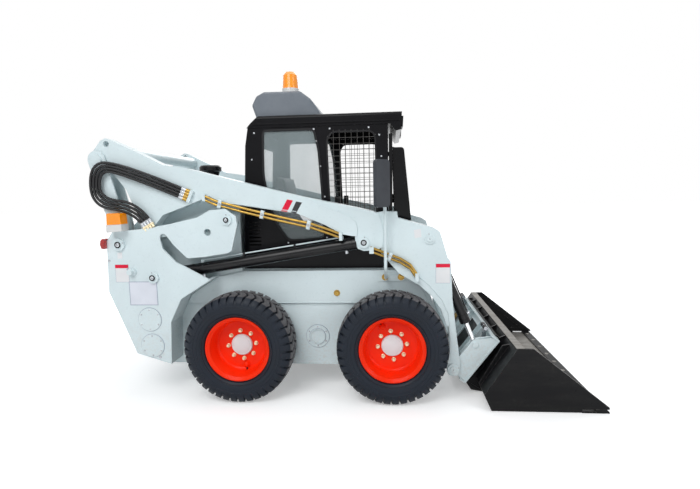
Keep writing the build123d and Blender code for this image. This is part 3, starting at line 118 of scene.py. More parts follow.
class Form:
    """A mesh under construction, made of plates, turned shapes, blocks and tubes."""

    def __init__(self):
        self.bm = bmesh.new()

    def skin(self, rings, closed=False, caps=True):
        """Joins rings of points that all have the same number of points."""
        rows = [[self.bm.verts.new(p) for p in ring] for ring in rings]
        pairs = list(zip(rows, rows[1:])) + ([(rows[-1], rows[0])] if closed else [])
        count = len(rows[0])
        for a, b in pairs:
            for i in range(count):
                j = (i + 1) % count
                self.bm.faces.new((a[i], a[j], b[j], b[i]))
        if caps and not closed:
            self.bm.faces.new(list(reversed(rows[0])))
            self.bm.faces.new(rows[-1])
        return self

    def plate(self, corners, low, high):
        """A side-view outline (forward, height) as a plate from low to high across the machine."""
        return self.skin([[spot(x, low, z) for x, z in corners], [spot(x, high, z) for x, z in corners]])

    def turned(self, base, axis, profile, sides=24):
        """Steps (distance along the axis, radius), turned round the axis."""
        axis = Vector(axis).normalized()
        side = axis.orthogonal().normalized()
        other = axis.cross(side)
        circle = [2 * math.pi * i / sides for i in range(sides)]
        rings = []
        for along, radius in profile:
            middle = base + axis * along * MM
            rings.append([middle + (side * math.cos(t) + other * math.sin(t)) * radius * MM for t in circle])
        return self.skin(rings)

    def hoop(self, middles, outward, axis, thick):
        """A closed ring of six-sided wire through points, with the way outward at each."""
        circle = [2 * math.pi * i / 6 for i in range(6)]
        return self.skin([[middle + (out * math.cos(t) + axis * math.sin(t)) * thick * MM for t in circle]
                          for middle, out in zip(middles, outward)], closed=True)

    def block(self, centre, size, turn=0.0):
        """A box of that size in millimetres, turned about the cross axis by an angle in degrees."""
        half = Vector(size) * MM / 2
        spin = Matrix.Rotation(math.radians(turn), 3, "Y")
        rings = []
        for z in (-half.z, half.z):
            rings.append([centre + spin @ Vector((x, y, z)) for x, y in
                          ((-half.x, -half.y), (half.x, -half.y), (half.x, half.y), (-half.x, half.y))])
        return self.skin(rings)

    def tube(self, points, radius, sides=10, swell=None):
        """A round tube through points, its radius in millimetres; swell(index) scales it."""
        points = [Vector(p) for p in points]
        runs = [(b - a).normalized() for a, b in zip(points, points[1:])]
        heading = [runs[0]] + [(a + b).normalized() for a, b in zip(runs, runs[1:])] + [runs[-1]]
        side = heading[0].orthogonal().normalized()
        rings = []
        for index, (point, run) in enumerate(zip(points, heading)):
            side = (side - run * side.dot(run)).normalized()
            other = run.cross(side)
            r = radius * MM * (swell(index) if swell else 1.0)
            rings.append([point + (side * math.cos(2 * math.pi * i / sides)
                                   + other * math.sin(2 * math.pi * i / sides)) * r for i in range(sides)])
        return self.skin(rings)

    def beads(self, points, radius, ripple=0.2):
        """A rippled weld bead through points."""
        return self.tube(points, radius, 6, lambda index: 1.0 + ripple * (index % 2))

    def bolt(self, base, axis, across_flats=19.0, head=8.0, washer=True):
        """A hexagon head with its washer and chamfer."""
        if washer:
            disc = across_flats * 0.78
            self.turned(base, axis, ((0, disc), (2, disc), (2, across_flats * 0.5)), 16)
        r = across_flats / math.sqrt(3)
        return self.turned(base, axis, ((1, r), (head * 0.8, r), (head, r * 0.86)), 6)

    def both_sides(self):
        """Copies everything built so far to the other side of the machine."""
        copy = bmesh.ops.duplicate(self.bm, geom=self.bm.verts[:] + self.bm.edges[:] + self.bm.faces[:])
        for item in copy["geom"]:
            if isinstance(item, bmesh.types.BMVert):
                item.co.y = -item.co.y
        bmesh.ops.reverse_faces(self.bm, faces=[f for f in copy["geom"] if isinstance(f, bmesh.types.BMFace)])
        return self

    def mesh(self, name, material, sharp=35.0):
        """Closes the form into a shaded mesh."""
        bmesh.ops.recalc_face_normals(self.bm, faces=self.bm.faces[:])
        made = bpy.data.meshes.new(name)
        self.bm.to_mesh(made)
        self.bm.free()
        made.materials.append(material)
        made.shade_smooth()
        made.set_sharp_from_angle(angle=math.radians(sharp))
        return made

    def piece(self, name, material, body, slot=None, rounded=0.0, sharp=35.0):
        """Puts the form on a body as a piece, with its edges rounded by a bevel if asked."""
        made = bpy.data.objects.new(name, self.mesh(name, material, sharp))
        bpy.context.scene.collection.objects.link(made)
        if rounded:
            bevel = made.modifiers.new("rounded edges", "BEVEL")
            bevel.width = rounded * MM
            bevel.segments = 2
            bevel.limit_method = "ANGLE"
            bevel.angle_limit = math.radians(35)
        if body:
            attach(made, body)
        return made


# ---- materials ------------------------------------------------------------------------

class Finish:
    """A node material with a few named helpers for noise, mixing and bumps."""

    def __init__(self, name):
        self.material = bpy.data.materials.new(name)
        self.material.use_nodes = True
        self.nodes = self.material.node_tree.nodes
        self.links = self.material.node_tree.links
        self.shader = self.nodes["Principled BSDF"]
        self.where = self.nodes.new("ShaderNodeTexCoord").outputs["Object"]

    def join(self, source, target):
        """Links an output to an input."""
        self.links.new(source, target)
        return self

    def noise(self, scale, detail=4.0, rough=0.55, stretch=None):
        """Noise of 0 to 1 in object space, its scale stretched along the axes if asked."""
        node = self.nodes.new("ShaderNodeTexNoise")
        node.inputs["Scale"].default_value = scale
        node.inputs["Detail"].default_value = detail
        node.inputs["Roughness"].default_value = rough
        place = self.where
        if stretch:
            mapping = self.nodes.new("ShaderNodeMapping")
            mapping.inputs["Scale"].default_value = stretch
            self.join(self.where, mapping.inputs["Vector"])
            place = mapping.outputs["Vector"]
        self.join(place, node.inputs["Vector"])
        return node.outputs["Fac"]

    def ramp(self, value, low, high, start=0.0, end=1.0):
        """Maps low..high of a value to start..end."""
        node = self.nodes.new("ShaderNodeMapRange")
        for socket, number in (("From Min", low), ("From Max", high), ("To Min", start), ("To Max", end)):
            node.inputs[socket].default_value = number
        self.join(value, node.inputs["Value"])
        return node.outputs["Result"]

    def math(self, kind, first, second):
        """What one kind of sum makes of two numbers or outputs, kept within 0 to 1."""
        node = self.nodes.new("ShaderNodeMath")
        node.operation = kind
        node.use_clamp = True
        for index, value in enumerate((first, second)):
            if isinstance(value, (int, float)):
                node.inputs[index].default_value = value
            else:
                self.join(value, node.inputs[index])
        return node.outputs[0]

    def blend(self, amount, first, second):
        """Colour that goes from first to second with an amount of 0 to 1."""
        node = self.nodes.new("ShaderNodeMix")
        node.data_type = "RGBA"
        self.join(amount, node.inputs["Factor"])
        for socket, colour in ((node.inputs["A"], first), (node.inputs["B"], second)):
            if isinstance(colour, tuple):
                socket.default_value = (*colour[:3], 1.0)
            else:
                self.join(colour, socket)
        return node.outputs["Result"]

    def height(self):
        """Height above the ground in metres."""
        split = self.nodes.new("ShaderNodeSeparateXYZ")
        self.join(self.where, split.inputs[0])
        return split.outputs["Z"]

    def edges(self, radius):
        """1 along outside edges within that many millimetres, 0 on flat faces."""
        soft = self.nodes.new("ShaderNodeBevel")
        soft.samples = 4
        soft.inputs["Radius"].default_value = radius * MM
        plain = self.nodes.new("ShaderNodeNewGeometry").outputs["Normal"]
        dot = self.nodes.new("ShaderNodeVectorMath")
        dot.operation = "DOT_PRODUCT"
        self.join(soft.outputs["Normal"], dot.inputs[0])
        self.join(plain, dot.inputs[1])
        return self.ramp(dot.outputs["Value"], 0.995, 0.86)

    def set(self, **values):
        """Sets sockets of the shader: a number or colour directly, anything else by a link."""
        for key, value in values.items():
            socket = self.shader.inputs[key.replace("_", " ").title().replace("Ior", "IOR")]
            if isinstance(value, bpy.types.NodeSocket):
                self.join(value, socket)
            elif isinstance(value, tuple):
                socket.default_value = (*value[:3], 1.0)
            else:
                socket.default_value = value
        return self

    def bump(self, value, strength, distance, soften=0.0):
        """Raises the surface by a value; soften rounds edges by that many millimetres."""
        node = self.nodes.new("ShaderNodeBump")
        node.inputs["Strength"].default_value = strength
        node.inputs["Distance"].default_value = distance * MM
        self.join(value, node.inputs["Height"])
        if soften:
            edge = self.nodes.new("ShaderNodeBevel")
            edge.samples = 4
            edge.inputs["Radius"].default_value = soften * MM
            self.join(edge.outputs["Normal"], node.inputs["Normal"])
        self.join(node.outputs["Normal"], self.shader.inputs["Normal"])
        return self


def paint(name, colour, shade, roughness, coat, soften, peel=0.25, dust=None, shine=0.5):
    """Sprayed paint: faint cloudiness, orange peel, a clear coat and dust low down."""
    look = Finish(name)
    cloud = look.noise(3.2, 5.0)
    tone = look.blend(look.ramp(cloud, 0.35, 0.68), colour, shade)
    specks = look.noise(46.0, 6.0, 0.7)
    if dust:
        low = look.ramp(look.height(), 0.75, 0.1)
        tone = look.blend(look.math("MULTIPLY", low, look.ramp(specks, 0.46, 0.78)), tone, dust)
    look.set(base_color=tone, roughness=look.ramp(specks, 0.3, 0.7, roughness * 0.8, roughness * 1.25))
    look.set(coat_weight=coat, coat_roughness=0.08, specular_ior_level=shine)
    return look.bump(look.noise(260.0, 2.0), peel, 0.25, soften).material


def plastic(name, colour, shade, roughness, grain, depth, soften=0.0, shine=0.5):
    """Moulded plastic or rubber with a fine grain."""
    look = Finish(name)
    tone = look.blend(look.ramp(look.noise(8.0, 4.0), 0.35, 0.7), colour, shade)
    dull = look.ramp(look.noise(30.0), 0.3, 0.7, roughness * 0.85, roughness * 1.15)
    look.set(base_color=tone, roughness=dull, specular_ior_level=shine)
    return look.bump(look.noise(grain, 3.0, 0.6), 0.5, depth, soften).material


def metal(name, colour, shade, roughness, stretch=(1.0, 1.0, 1.0), scale=60.0, soften=0.0):
    """Bare or plated metal with fine directional marks."""
    look = Finish(name)
    marks = look.noise(scale, 6.0, 0.65, stretch)
    look.set(base_color=look.blend(look.ramp(marks, 0.35, 0.7), colour, shade), metallic=1.0)
    look.set(roughness=look.ramp(marks, 0.3, 0.72, roughness * 0.7, roughness * 1.5))
    return look.bump(marks, 0.12, 0.2, soften).material


def glass(name, colour, alpha, roughness):
    """Thin clear pane: mostly see-through, with a gloss and faint smears."""
    look = Finish(name)
    smear = look.noise(5.0, 6.0, 0.6, (1.0, 1.0, 0.4))
    look.set(base_color=colour, roughness=look.ramp(smear, 0.4, 0.8, roughness, roughness * 3))
    look.set(alpha=look.ramp(smear, 0.3, 0.8, alpha * 0.85, alpha * 1.25), coat_weight=0.6)
    return look.bump(look.noise(14.0), 0.02, 0.3).material


def lens(name, colour, deep, glow, ribs):
    """Coloured moulded lens with ribs and a little light in it."""
    look = Finish(name)
    wave = look.nodes.new("ShaderNodeTexWave")
    wave.bands_direction = ribs
    wave.inputs["Scale"].default_value = 42.0
    wave.inputs["Distortion"].default_value = 0.4
    look.join(look.where, wave.inputs["Vector"])
    look.set(base_color=look.blend(wave.outputs["Fac"], colour, deep), roughness=0.16)
    look.set(emission_color=colour, emission_strength=glow, coat_weight=0.2, coat_roughness=0.05)
    look.set(transmission_weight=0.15)
    return look.bump(wave.outputs["Fac"], 0.35, 1.0).material


def bucket_paint():
    """Black bucket paint, grey on its edges from rubbing and from a painted edge highlight, and dusty on its
    faces.
    """
    look = Finish("worn bucket paint with painted edge highlight")
    grit = look.noise(38.0, 8.0, 0.7)
    streak = look.noise(7.0, 6.0, 0.6, (0.35, 1.0, 1.6))
    tone = look.blend(look.ramp(streak, 0.42, 0.75), (0.006, 0.006, 0.007), (0.012, 0.012, 0.012))
    tone = look.blend(look.math("MULTIPLY", look.ramp(streak, 0.5, 0.8), look.ramp(grit, 0.5, 0.7, 0.0, 0.5)),
                      tone, (0.045, 0.042, 0.04))
    # paler grey along the outside edges: rubbed paint, and partly a painted edge highlight
    edge_wear_and_highlight = look.math("MULTIPLY", look.edges(4.0), look.ramp(grit, 0.42, 0.6))
    tone = look.blend(edge_wear_and_highlight, tone, (0.16, 0.15, 0.145))
    look.set(base_color=tone, roughness=look.ramp(grit, 0.3, 0.7, 0.26, 0.42), specular_ior_level=0.14)
    return look.bump(grit, 0.25, 0.8, 2.0).material


def rubbed_steel():
    """Steel edge worn bare, with a little dust and rust."""
    look = Finish("rubbed steel")
    grit = look.noise(55.0, 8.0, 0.7)
    drag = look.noise(24.0, 5.0, 0.6, (0.2, 3.0, 1.0))
    tone = look.blend(look.ramp(drag, 0.35, 0.7), (0.3, 0.29, 0.27), (0.13, 0.12, 0.11))
    tone = look.blend(look.ramp(grit, 0.55, 0.75, 0.0, 0.7), tone, (0.22, 0.14, 0.09))
    look.set(base_color=tone, metallic=0.55, roughness=look.ramp(grit, 0.3, 0.7, 0.35, 0.62))
    return look.bump(drag, 0.4, 0.8, 1.5).material


SCUFF_STARTS, SCUFF_FULL = 0.3725, 0.3755  # radii of the tread's rubbed tops in metres
TREAD_EDGE, TREAD_FLAT = 0.108, 0.098  # half widths between which the rubbing fades


def tyre_rubber():
    """Tyre rubber: blue-black walls with a faint bloom, and tread tops scuffed grey."""
    look = Finish("tyre rubber")
    bloom = look.noise(6.0, 5.0, 0.6)
    grit = look.noise(90.0, 6.0, 0.7)
    tone = look.blend(look.ramp(bloom, 0.38, 0.72), (0.005, 0.009, 0.016), (0.009, 0.014, 0.024))
    tone = look.blend(look.ramp(grit, 0.6, 0.8, 0.0, 0.2), tone, (0.05, 0.052, 0.055))
    split = look.nodes.new("ShaderNodeSeparateXYZ")
    look.join(look.where, split.inputs[0])
    across = look.math("ABSOLUTE", split.outputs["Y"], 0.0)
    radius = look.math("SQRT", look.math("ADD", look.math("POWER", split.outputs["X"], 2.0),
                                         look.math("POWER", split.outputs["Z"], 2.0)), 0.0)
    tops = look.math("MULTIPLY", look.ramp(radius, SCUFF_STARTS, SCUFF_FULL),
                     look.ramp(across, TREAD_EDGE, TREAD_FLAT))
    scuff = look.math("MULTIPLY", tops, look.ramp(grit, 0.3, 0.6, 0.55, 1.0))
    tone = look.blend(scuff, tone, (0.115, 0.108, 0.112))
    look.set(base_color=tone, roughness=look.ramp(bloom, 0.3, 0.7, 0.42, 0.58), specular_ior_level=0.25)
    look.set(sheen_weight=0.05, sheen_roughness=0.4)
    return look.bump(grit, 0.22, 0.6, 1.5).material


def vinyl():
    """Soft black seat vinyl with a pebbled grain."""
    look = Finish("seat vinyl")
    cells = look.nodes.new("ShaderNodeTexVoronoi")
    cells.inputs["Scale"].default_value = 420.0
    look.join(look.where, cells.inputs["Vector"])
    tone = look.blend(look.ramp(look.noise(6.0), 0.35, 0.7), (0.018, 0.018, 0.02), (0.034, 0.034, 0.037))
    look.set(base_color=tone, roughness=look.ramp(cells.outputs["Distance"], 0.0, 0.7, 0.42, 0.6))
    look.set(sheen_weight=0.15, sheen_roughness=0.5)
    return look.bump(cells.outputs["Distance"], 0.4, 0.5).material


FINISHES = {}


def finish(name):
    """The material of that name, made once by make_finishes."""
    return FINISHES[name]


def make_finishes(colours):
    """Makes every material of the loader from the colours in the panel."""
    white, rim, cab = tuple(colours.body), tuple(colours.rims), tuple(colours.cab)
    shade = tuple(c * 0.93 for c in white)
    rim_shade = (rim[0] * 0.9, rim[1] * 0.8, rim[2])
    cab_shade = tuple(c * 1.6 for c in cab)
    even_marks, brushed = (1.0, 1.0, 1.0), (0.5, 1.0, 2.0)
    FINISHES.update(
        # paints: colour, shade, roughness, coat, softened edges
        body=paint("pale body paint", white, shade, 0.3, 0.25, 3.0, dust=(0.58, 0.58, 0.55), shine=0.4),
        rim=paint("orange rim paint", rim, rim_shade, 0.32, 0.04, 2.0, shine=0.1),
        hub=paint("white hub paint", (0.76, 0.79, 0.8), (0.7, 0.73, 0.74), 0.32, 0.2, 1.5, shine=0.3),
        cab=paint("black cab paint", cab, cab_shade, 0.2, 0.03, 2.5, peel=0.18, shine=0.1),
        black=paint("satin black paint", (0.005, 0.005, 0.006), (0.009, 0.009, 0.01), 0.22, 0.05, 1.5,
                    shine=0.22),
        wire=paint("grey wire paint", (0.06, 0.058, 0.055), (0.09, 0.085, 0.08), 0.38, 0.1, 0.0, shine=0.3),
        bucket=bucket_paint(),
        steel=rubbed_steel(),
        tyre=tyre_rubber(),
        vinyl=vinyl(),
        # rubber, plastics, films: colour, shade, roughness, grain's size and depth, softened edges, shine
        hose=plastic("hose rubber", (0.007, 0.007, 0.008), (0.015, 0.015, 0.016), 0.42, 320.0, 0.25,
                     shine=0.3),
        plastic=plastic("black plastic", (0.01, 0.01, 0.011), (0.018, 0.018, 0.02), 0.4, 420.0, 0.25, 1.0,
                        0.15),
        mirror_shell=plastic("grey-black mirror shell", (0.03, 0.034, 0.042), (0.042, 0.047, 0.056), 0.42,
                             420.0, 0.25, 1.0, 0.3),
        gloss=plastic("glossy black plastic", (0.004, 0.004, 0.005), (0.006, 0.006, 0.007), 0.1, 300.0, 0.05,
                      2.0, 0.16),
        pod=plastic("grey roof plastic", (0.105, 0.125, 0.15), (0.125, 0.145, 0.17), 0.5, 380.0, 0.3, 4.0),
        pale_plastic=plastic("white plastic", (0.7, 0.7, 0.69), (0.62, 0.62, 0.62), 0.38, 300.0, 0.15, 1.0),
        red_film=plastic("red film", (0.74, 0.01, 0.045), (0.66, 0.008, 0.04), 0.3, 200.0, 0.05, shine=0.25),
        black_film=plastic("black film", (0.012, 0.012, 0.013), (0.018, 0.018, 0.02), 0.3, 200.0, 0.05),
        white_film=plastic("white film", (0.76, 0.77, 0.78), (0.72, 0.73, 0.75), 0.32, 200.0, 0.05),
        plate=plastic("pale plate", (0.72, 0.75, 0.82), (0.66, 0.69, 0.76), 0.35, 200.0, 0.05, shine=0.3),
        # bluish grey of the plates' edges, and of the painted shadow rings round the covers
        plate_edge=plastic("plate edge and painted shadow line", (0.38, 0.42, 0.52), (0.3, 0.34, 0.42), 0.35, 200.0, 0.05, shine=0.3),
        # metals: colour, shade, roughness, stretch and scale of the marks, softened edges
        chrome=metal("hard chrome", (0.88, 0.89, 0.9), (0.78, 0.8, 0.82), 0.09, even_marks, 30.0),
        pale_zinc=metal("pale yellow zinc", (0.78, 0.7, 0.5), (0.6, 0.5, 0.32), 0.34, even_marks, 85.0, 0.6),
        zinc=metal("bright zinc", (0.5, 0.52, 0.54), (0.3, 0.32, 0.35), 0.3, even_marks, 85.0, 0.6),
        gold=metal("yellow zinc", (0.4, 0.25, 0.055), (0.24, 0.16, 0.05), 0.33, brushed, 70.0, 0.5),
        iron=metal("cast iron", (0.09, 0.09, 0.09), (0.05, 0.05, 0.05), 0.6, even_marks, 120.0, 3.0),
        mirror=metal("mirror glass", (0.86, 0.88, 0.9), (0.82, 0.85, 0.88), 0.03, even_marks, 4.0),
        # glass and lenses
        glass=glass("window glass", (0.5, 0.6, 0.62), 0.22, 0.03),
        amber=lens("amber lens", (0.97, 0.37, 0.004), (0.82, 0.21, 0.0), 0.12, "Z"),
        red=lens("red lens", (0.5, 0.01, 0.008), (0.28, 0.004, 0.004), 0.05, "X"),
        lamp=lens("clear lamp lens", (0.3, 0.32, 0.33), (0.14, 0.15, 0.16), 0.02, "Y"),
    )


NODE_FINISH = {
    # finish: the CAD nodes that wear it
    "body": "main_frame axle_tubes uprights engine_hood rear_links control_links lift_arms quick_attach "
            "rear_door inspection_covers mirror_arms arm_crossbars pipe_brackets lift_pipes",
    "iron": "engine_block",
    "black": "exhaust_stack lift_barrels tilt_barrels",
    "cab": "cab_frame cab_roof",
    "gloss": "cab_door",
    "plastic": "seat_base consoles",
    "mirror_shell": "mirrors",
    "glass": "cab_glass door_glass",
    "pod": "aircon_pod",
    "rim": "rim_front_right rim_front_left rim_rear_right rim_rear_left",
    "hub": "hub_front_right hub_front_left hub_rear_right hub_rear_left",
    "chrome": "lift_rods tilt_rods",
    "zinc": "latch_levers",
    "bucket": "bucket cutting_edge",
    "amber": "beacons",
    "pale_plastic": "beacon_bases",
    "red": "tail_lights",
    "lamp": "front_lamps",
    "gold": "arm_pipes",
}


# ---- settings in the sidebar ----------------------------------------------------------

class LoaderColours(bpy.types.PropertyGroup):
    """Paint colours of the loader."""

    body: FloatVectorProperty(name="Body", description="Paint of the body and the arms", subtype="COLOR",
                              size=3, min=0, max=1, default=(0.67, 0.775, 0.8))
    rims: FloatVectorProperty(name="Rims", description="Paint of the wheel rims", subtype="COLOR",
                              size=3, min=0, max=1, default=(1.0, 0.032, 0.003))
    cab: FloatVectorProperty(name="Cab", description="Paint of the cab", subtype="COLOR",
                             size=3, min=0, max=1, default=(0.004, 0.004, 0.005))


class LoaderTyre(bpy.types.PropertyGroup):
    """Sizes of the tyre tread."""

    lugs: IntProperty(name="Lugs", description="Tread lugs round each half of a tyre", default=40, min=12,
                      max=48)
    groove: FloatProperty(name="Groove depth", description="Depth of the grooves between the lugs",
                          default=0.015, min=0.004, max=0.03, subtype="DISTANCE", unit="LENGTH")


class LoaderHose(bpy.types.PropertyGroup):
    """Sizes of the hydraulic hoses."""

    radius: FloatProperty(name="Hose radius", description="Radius over the spiral guard",
                          default=0.0102, min=0.005, max=0.02, subtype="DISTANCE", unit="LENGTH")
    guard_pitch: FloatProperty(name="Guard pitch", description="Length of one turn of the spiral guard",
                               default=0.009, min=0.004, max=0.03, subtype="DISTANCE", unit="LENGTH")


class LoaderStudio(bpy.types.PropertyGroup):
    """Camera lens and light of the studio."""

    lens: FloatProperty(name="Lens", description="Focal length of the camera", default=23.96, min=10, max=120,
                        unit="CAMERA")
    light: FloatProperty(name="Light", description="Strength of the soft lamps", default=1.0, min=0.1, max=4)


# ---- stage ----------------------------------------------------------------------------

LAMPS = (
    # name, place and aim in metres, width in metres, power in watts
    ("key lamp", (-1.6, -5.2, 5.2), (0, 0, 0.9), 3.6, 225),
    ("front lamp", (4.8, -3.6, 3.0), (0.6, 0, 0.8), 2.6, 70),
    ("top lamp", (0.0, 0.6, 6.0), (0, 0, 1), 4.5, 95),
    ("back lamp", (-1.0, 5.4, 4.4), (0, 0, 1.0), 3.5, 110),
)
CAMERA_TURNS = (-4.953, -6.335, -1.212)  # yaw, pitch and roll in degrees
CAMERA_PLACE = (AXLE_X - 0.007, -3.84, 1.444)
FLOOR_REACH = 40.0
SHADOW_REACH = (1.9, 3.4)  # radii between which the floor fades to pure white


class LOADER_OT_stage(bpy.types.Operator):
    """Makes the camera, the soft lamps, the white surroundings and the floor"""

    bl_idname = "loader.stage"
    bl_label = "Stage"

    def execute(self, context):
        settings = context.scene.loader_studio
        context.scene.view_settings.view_transform = "Standard"
        self.camera(context, settings)
        self.surroundings(context)
        for name, place, aim, size, power in LAMPS:
            data = bpy.data.lights.new(name, "AREA")
            data.size = size
            data.energy = power * settings.light
            lamp = bpy.data.objects.new(name, data)
            lamp.location = place
            lamp.rotation_euler = (Vector(aim) - Vector(place)).to_track_quat("-Z", "Y").to_euler()
            context.scene.collection.objects.link(lamp)
        self.floor()
        return {"FINISHED"}

    def camera(self, context, settings):
        """The camera, level but for a small roll, looking a little down from the right."""
        yaw, pitch, roll = (math.radians(turn) for turn in CAMERA_TURNS)
        flat = math.cos(pitch)
        ahead = Vector((math.sin(yaw) * flat, math.cos(yaw) * flat, math.sin(pitch)))
        level = Vector((math.cos(yaw), -math.sin(yaw), 0))
        rise = level.cross(ahead)
        right = math.cos(roll) * level + math.sin(roll) * rise
        up = math.cos(roll) * rise - math.sin(roll) * level
        data = bpy.data.cameras.new("camera")
        data.lens = settings.lens
        data.sensor_width = 36
        camera = bpy.data.objects.new("camera", data)
        turned = Matrix((right, up, -ahead)).transposed().to_4x4()
        camera.matrix_world = Matrix.Translation(CAMERA_PLACE) @ turned
        context.scene.collection.objects.link(camera)
        context.scene.camera = camera

    def surroundings(self, context):
        """White where the camera, a gloss or a pane sees it, and a soft sky light for everything else."""
        world = bpy.data.worlds.new("soft studio")
        context.scene.world = world
        world.use_nodes = True
        nodes, links = world.node_tree.nodes, world.node_tree.links
        white = nodes["Background"]
        white.inputs["Color"].default_value = (1, 1, 1, 1)
        white.inputs["Strength"].default_value = 1.0
        light = nodes.new("ShaderNodeBackground")
        sky = nodes.new("ShaderNodeTexGradient")
        place = nodes.new("ShaderNodeTexCoord")
        turn = nodes.new("ShaderNodeMapping")
        turn.inputs["Rotation"].default_value = (0, math.radians(90), 0)
        links.new(place.outputs["Generated"], turn.inputs["Vector"])
        links.new(turn.outputs["Vector"], sky.inputs["Vector"])
        shades = nodes.new("ShaderNodeValToRGB")
        shades.color_ramp.elements[0].color = (0.5, 0.52, 0.54, 1)
        shades.color_ramp.elements[1].color = (0.82, 0.86, 0.9, 1)
        links.new(sky.outputs["Color"], shades.inputs["Fac"])
        links.new(shades.outputs["Color"], light.inputs["Color"])
        light.inputs["Strength"].default_value = 0.5
        rays = nodes.new("ShaderNodeLightPath")
        seen = rays.outputs["Is Camera Ray"]
        for kind in ("Is Glossy Ray", "Is Transmission Ray"):
            either = nodes.new("ShaderNodeMath")
            either.operation = "MAXIMUM"
            links.new(seen, either.inputs[0])
            links.new(rays.outputs[kind], either.inputs[1])
            seen = either.outputs[0]
        pick = nodes.new("ShaderNodeMixShader")
        links.new(seen, pick.inputs[0])
        links.new(light.outputs[0], pick.inputs[1])
        links.new(white.outputs[0], pick.inputs[2])
        links.new(pick.outputs[0], nodes["World Output"].inputs["Surface"])

    def floor(self):
        """A pale floor that keeps the shadow near the loader and fades to white further out."""
        form = Form()
        corners = ((-1, -1), (1, -1), (1, 1), (-1, 1))
        form.bm.faces.new([form.bm.verts.new((x * FLOOR_REACH, y * FLOOR_REACH, 0)) for x, y in corners])
        look = Finish("studio floor")
        look.set(base_color=look.blend(look.noise(1.5), (0.86, 0.86, 0.86), (0.9, 0.9, 0.9)), roughness=0.9)
        look.set(specular_ior_level=0.0, emission_color=(1, 1, 1))
        rays = look.nodes.new("ShaderNodeLightPath").outputs
        seen = look.math("MAXIMUM", look.math("MAXIMUM", rays["Is Camera Ray"], rays["Is Glossy Ray"]),
                         rays["Is Transmission Ray"])
        reach = look.nodes.new("ShaderNodeVectorMath")
        reach.operation = "LENGTH"
        look.join(look.where, reach.inputs[0])
        white = look.ramp(reach.outputs["Value"], *SHADOW_REACH, 0.3, 1.0)
        look.set(emission_strength=look.math("MULTIPLY", seen, white))
        form.piece("studio_floor", look.material, None)


class LOADER_OT_finishes(bpy.types.Operator):
    """Makes the materials and puts them on the pieces of the frame"""

    bl_idname = "loader.finishes"
    bl_label = "Paint and materials"

    def execute(self, context):
        make_finishes(context.scene.loader_colours)
        for look, names in NODE_FINISH.items():
            for name in names.split():
                data = NODES[name].data
                data.materials.clear()
                data.materials.append(finish(look))
        return {"FINISHED"}


# ---- wheels ---------------------------------------------------------------------------

WHEELS = (
    # name, forward of the front axle in metres, side, angle of the valve
    ("front_right", 0.0, -1, 117),
    ("front_left", 0.0, 1, 117),
    ("rear_right", -WHEELBASE, -1, -80),
    ("rear_left", -WHEELBASE, 1, -80),
)
TYRE_WALL = (
    # across the tyre from its middle and radius, in millimetres, from a bead over the shoulder to the tread
    (93.5, 209.3), (95, 229), (109, 235), (121, 250), (127, 264), (130.6, 290), (131, 313), (128.6, 315.5),
    (128.2, 321), (125, 331), (118, 343), (107, 353), (92, 361), (50, 366.5),
)
TYRE_FLOOR_R = 368  # between the lugs, at the tyre's middle and with the usual groove
TYRE_LINING = ((70, 209.5), (88, 240), (104, 296), (90, 340))
LINING_R = 344
USUAL_GROOVE = 15
LUG = (
    # across from the middle, start and end of the lug round the tyre in shares of its pitch
    (2, 0.06, 0.60), (20, 0.20, 0.80), (42, 0.40, 1.06), (58, 0.50, 1.20), (76, 0.42, 1.14), (98, 0.33, 1.05),
    (114, 0.29, 1.01), (125, 0.28, 0.99), (130, 0.30, 0.97),
)
LUG_ROOT = 2.5  # how far a lug reaches under the groove's floor
LUG_CHAMFER = 1.2
LUG_DRAFT = 3.0 / 384  # lean of a lug's flanks, in radians round the tyre
WALL_RINGS = ((122.5, 249, 3.6), (129.8, 281, 1.2), (130.6, 303, 2.2))  # across, radius, thickness


def crown(across):
    """Radius of the tread's top in millimetres at a distance from the tyre's middle."""
    if across < 94:
        return 384 - 6 * (across / 94) ** 2
    if across < 120:
        return 378 - 22 * ((across - 94) / 26) ** 2
    return 356 - 25 * (across - 120) / 10


def tyre_form(lugs, groove):
    """One tyre standing at the origin, its axle along +Y, outer side towards -Y."""
    form = Form()
    steps = lugs * 3
    pitch = 2 * math.pi / lugs
    depth = groove / MM
    deeper = depth - USUAL_GROOVE

    def on(across, radius, turn):
        return Vector((math.sin(turn) * radius * MM, -across * MM, math.cos(turn) * radius * MM))

    wall = [(a, r - deeper if r > 325 else r) for a, r in TYRE_WALL]
    section = [(-a, r) for a, r in wall] + [(0, TYRE_FLOOR_R - deeper)] + wall[::-1]
    section += [*TYRE_LINING, (0, LINING_R), *((-a, r) for a, r in TYRE_LINING[::-1])]
    form.skin([[on(a, r, 2 * math.pi * i / steps) for a, r in section] for i in range(steps)], closed=True)
    for half, shift in ((1, 0.0), (-1, 0.5)):
        for number in range(lugs):
            rows = []
            for across, start, end in LUG:
                top = crown(across)
                low, edge = top - depth - LUG_ROOT, top - LUG_CHAMFER
                first, last = (number + shift + start) * pitch, (number + shift + end) * pitch
                rows.append([on(half * across, radius, turn) for radius, turn in (
                    (low, first - LUG_DRAFT), (edge, first), (top, first + LUG_DRAFT),
                    (top, last - LUG_DRAFT), (edge, last), (low, last + LUG_DRAFT))])
            form.skin(rows)
    # rim guards and fine mould rings on both walls
    for side in (1, -1):
        for across, radius, thick in WALL_RINGS:
            ring = [on(side * across, radius, 2 * math.pi * i / 96) for i in range(96)]
            form.hoop(ring, [point.normalized() for point in ring], Vector((0, 1, 0)), thick)
    return form


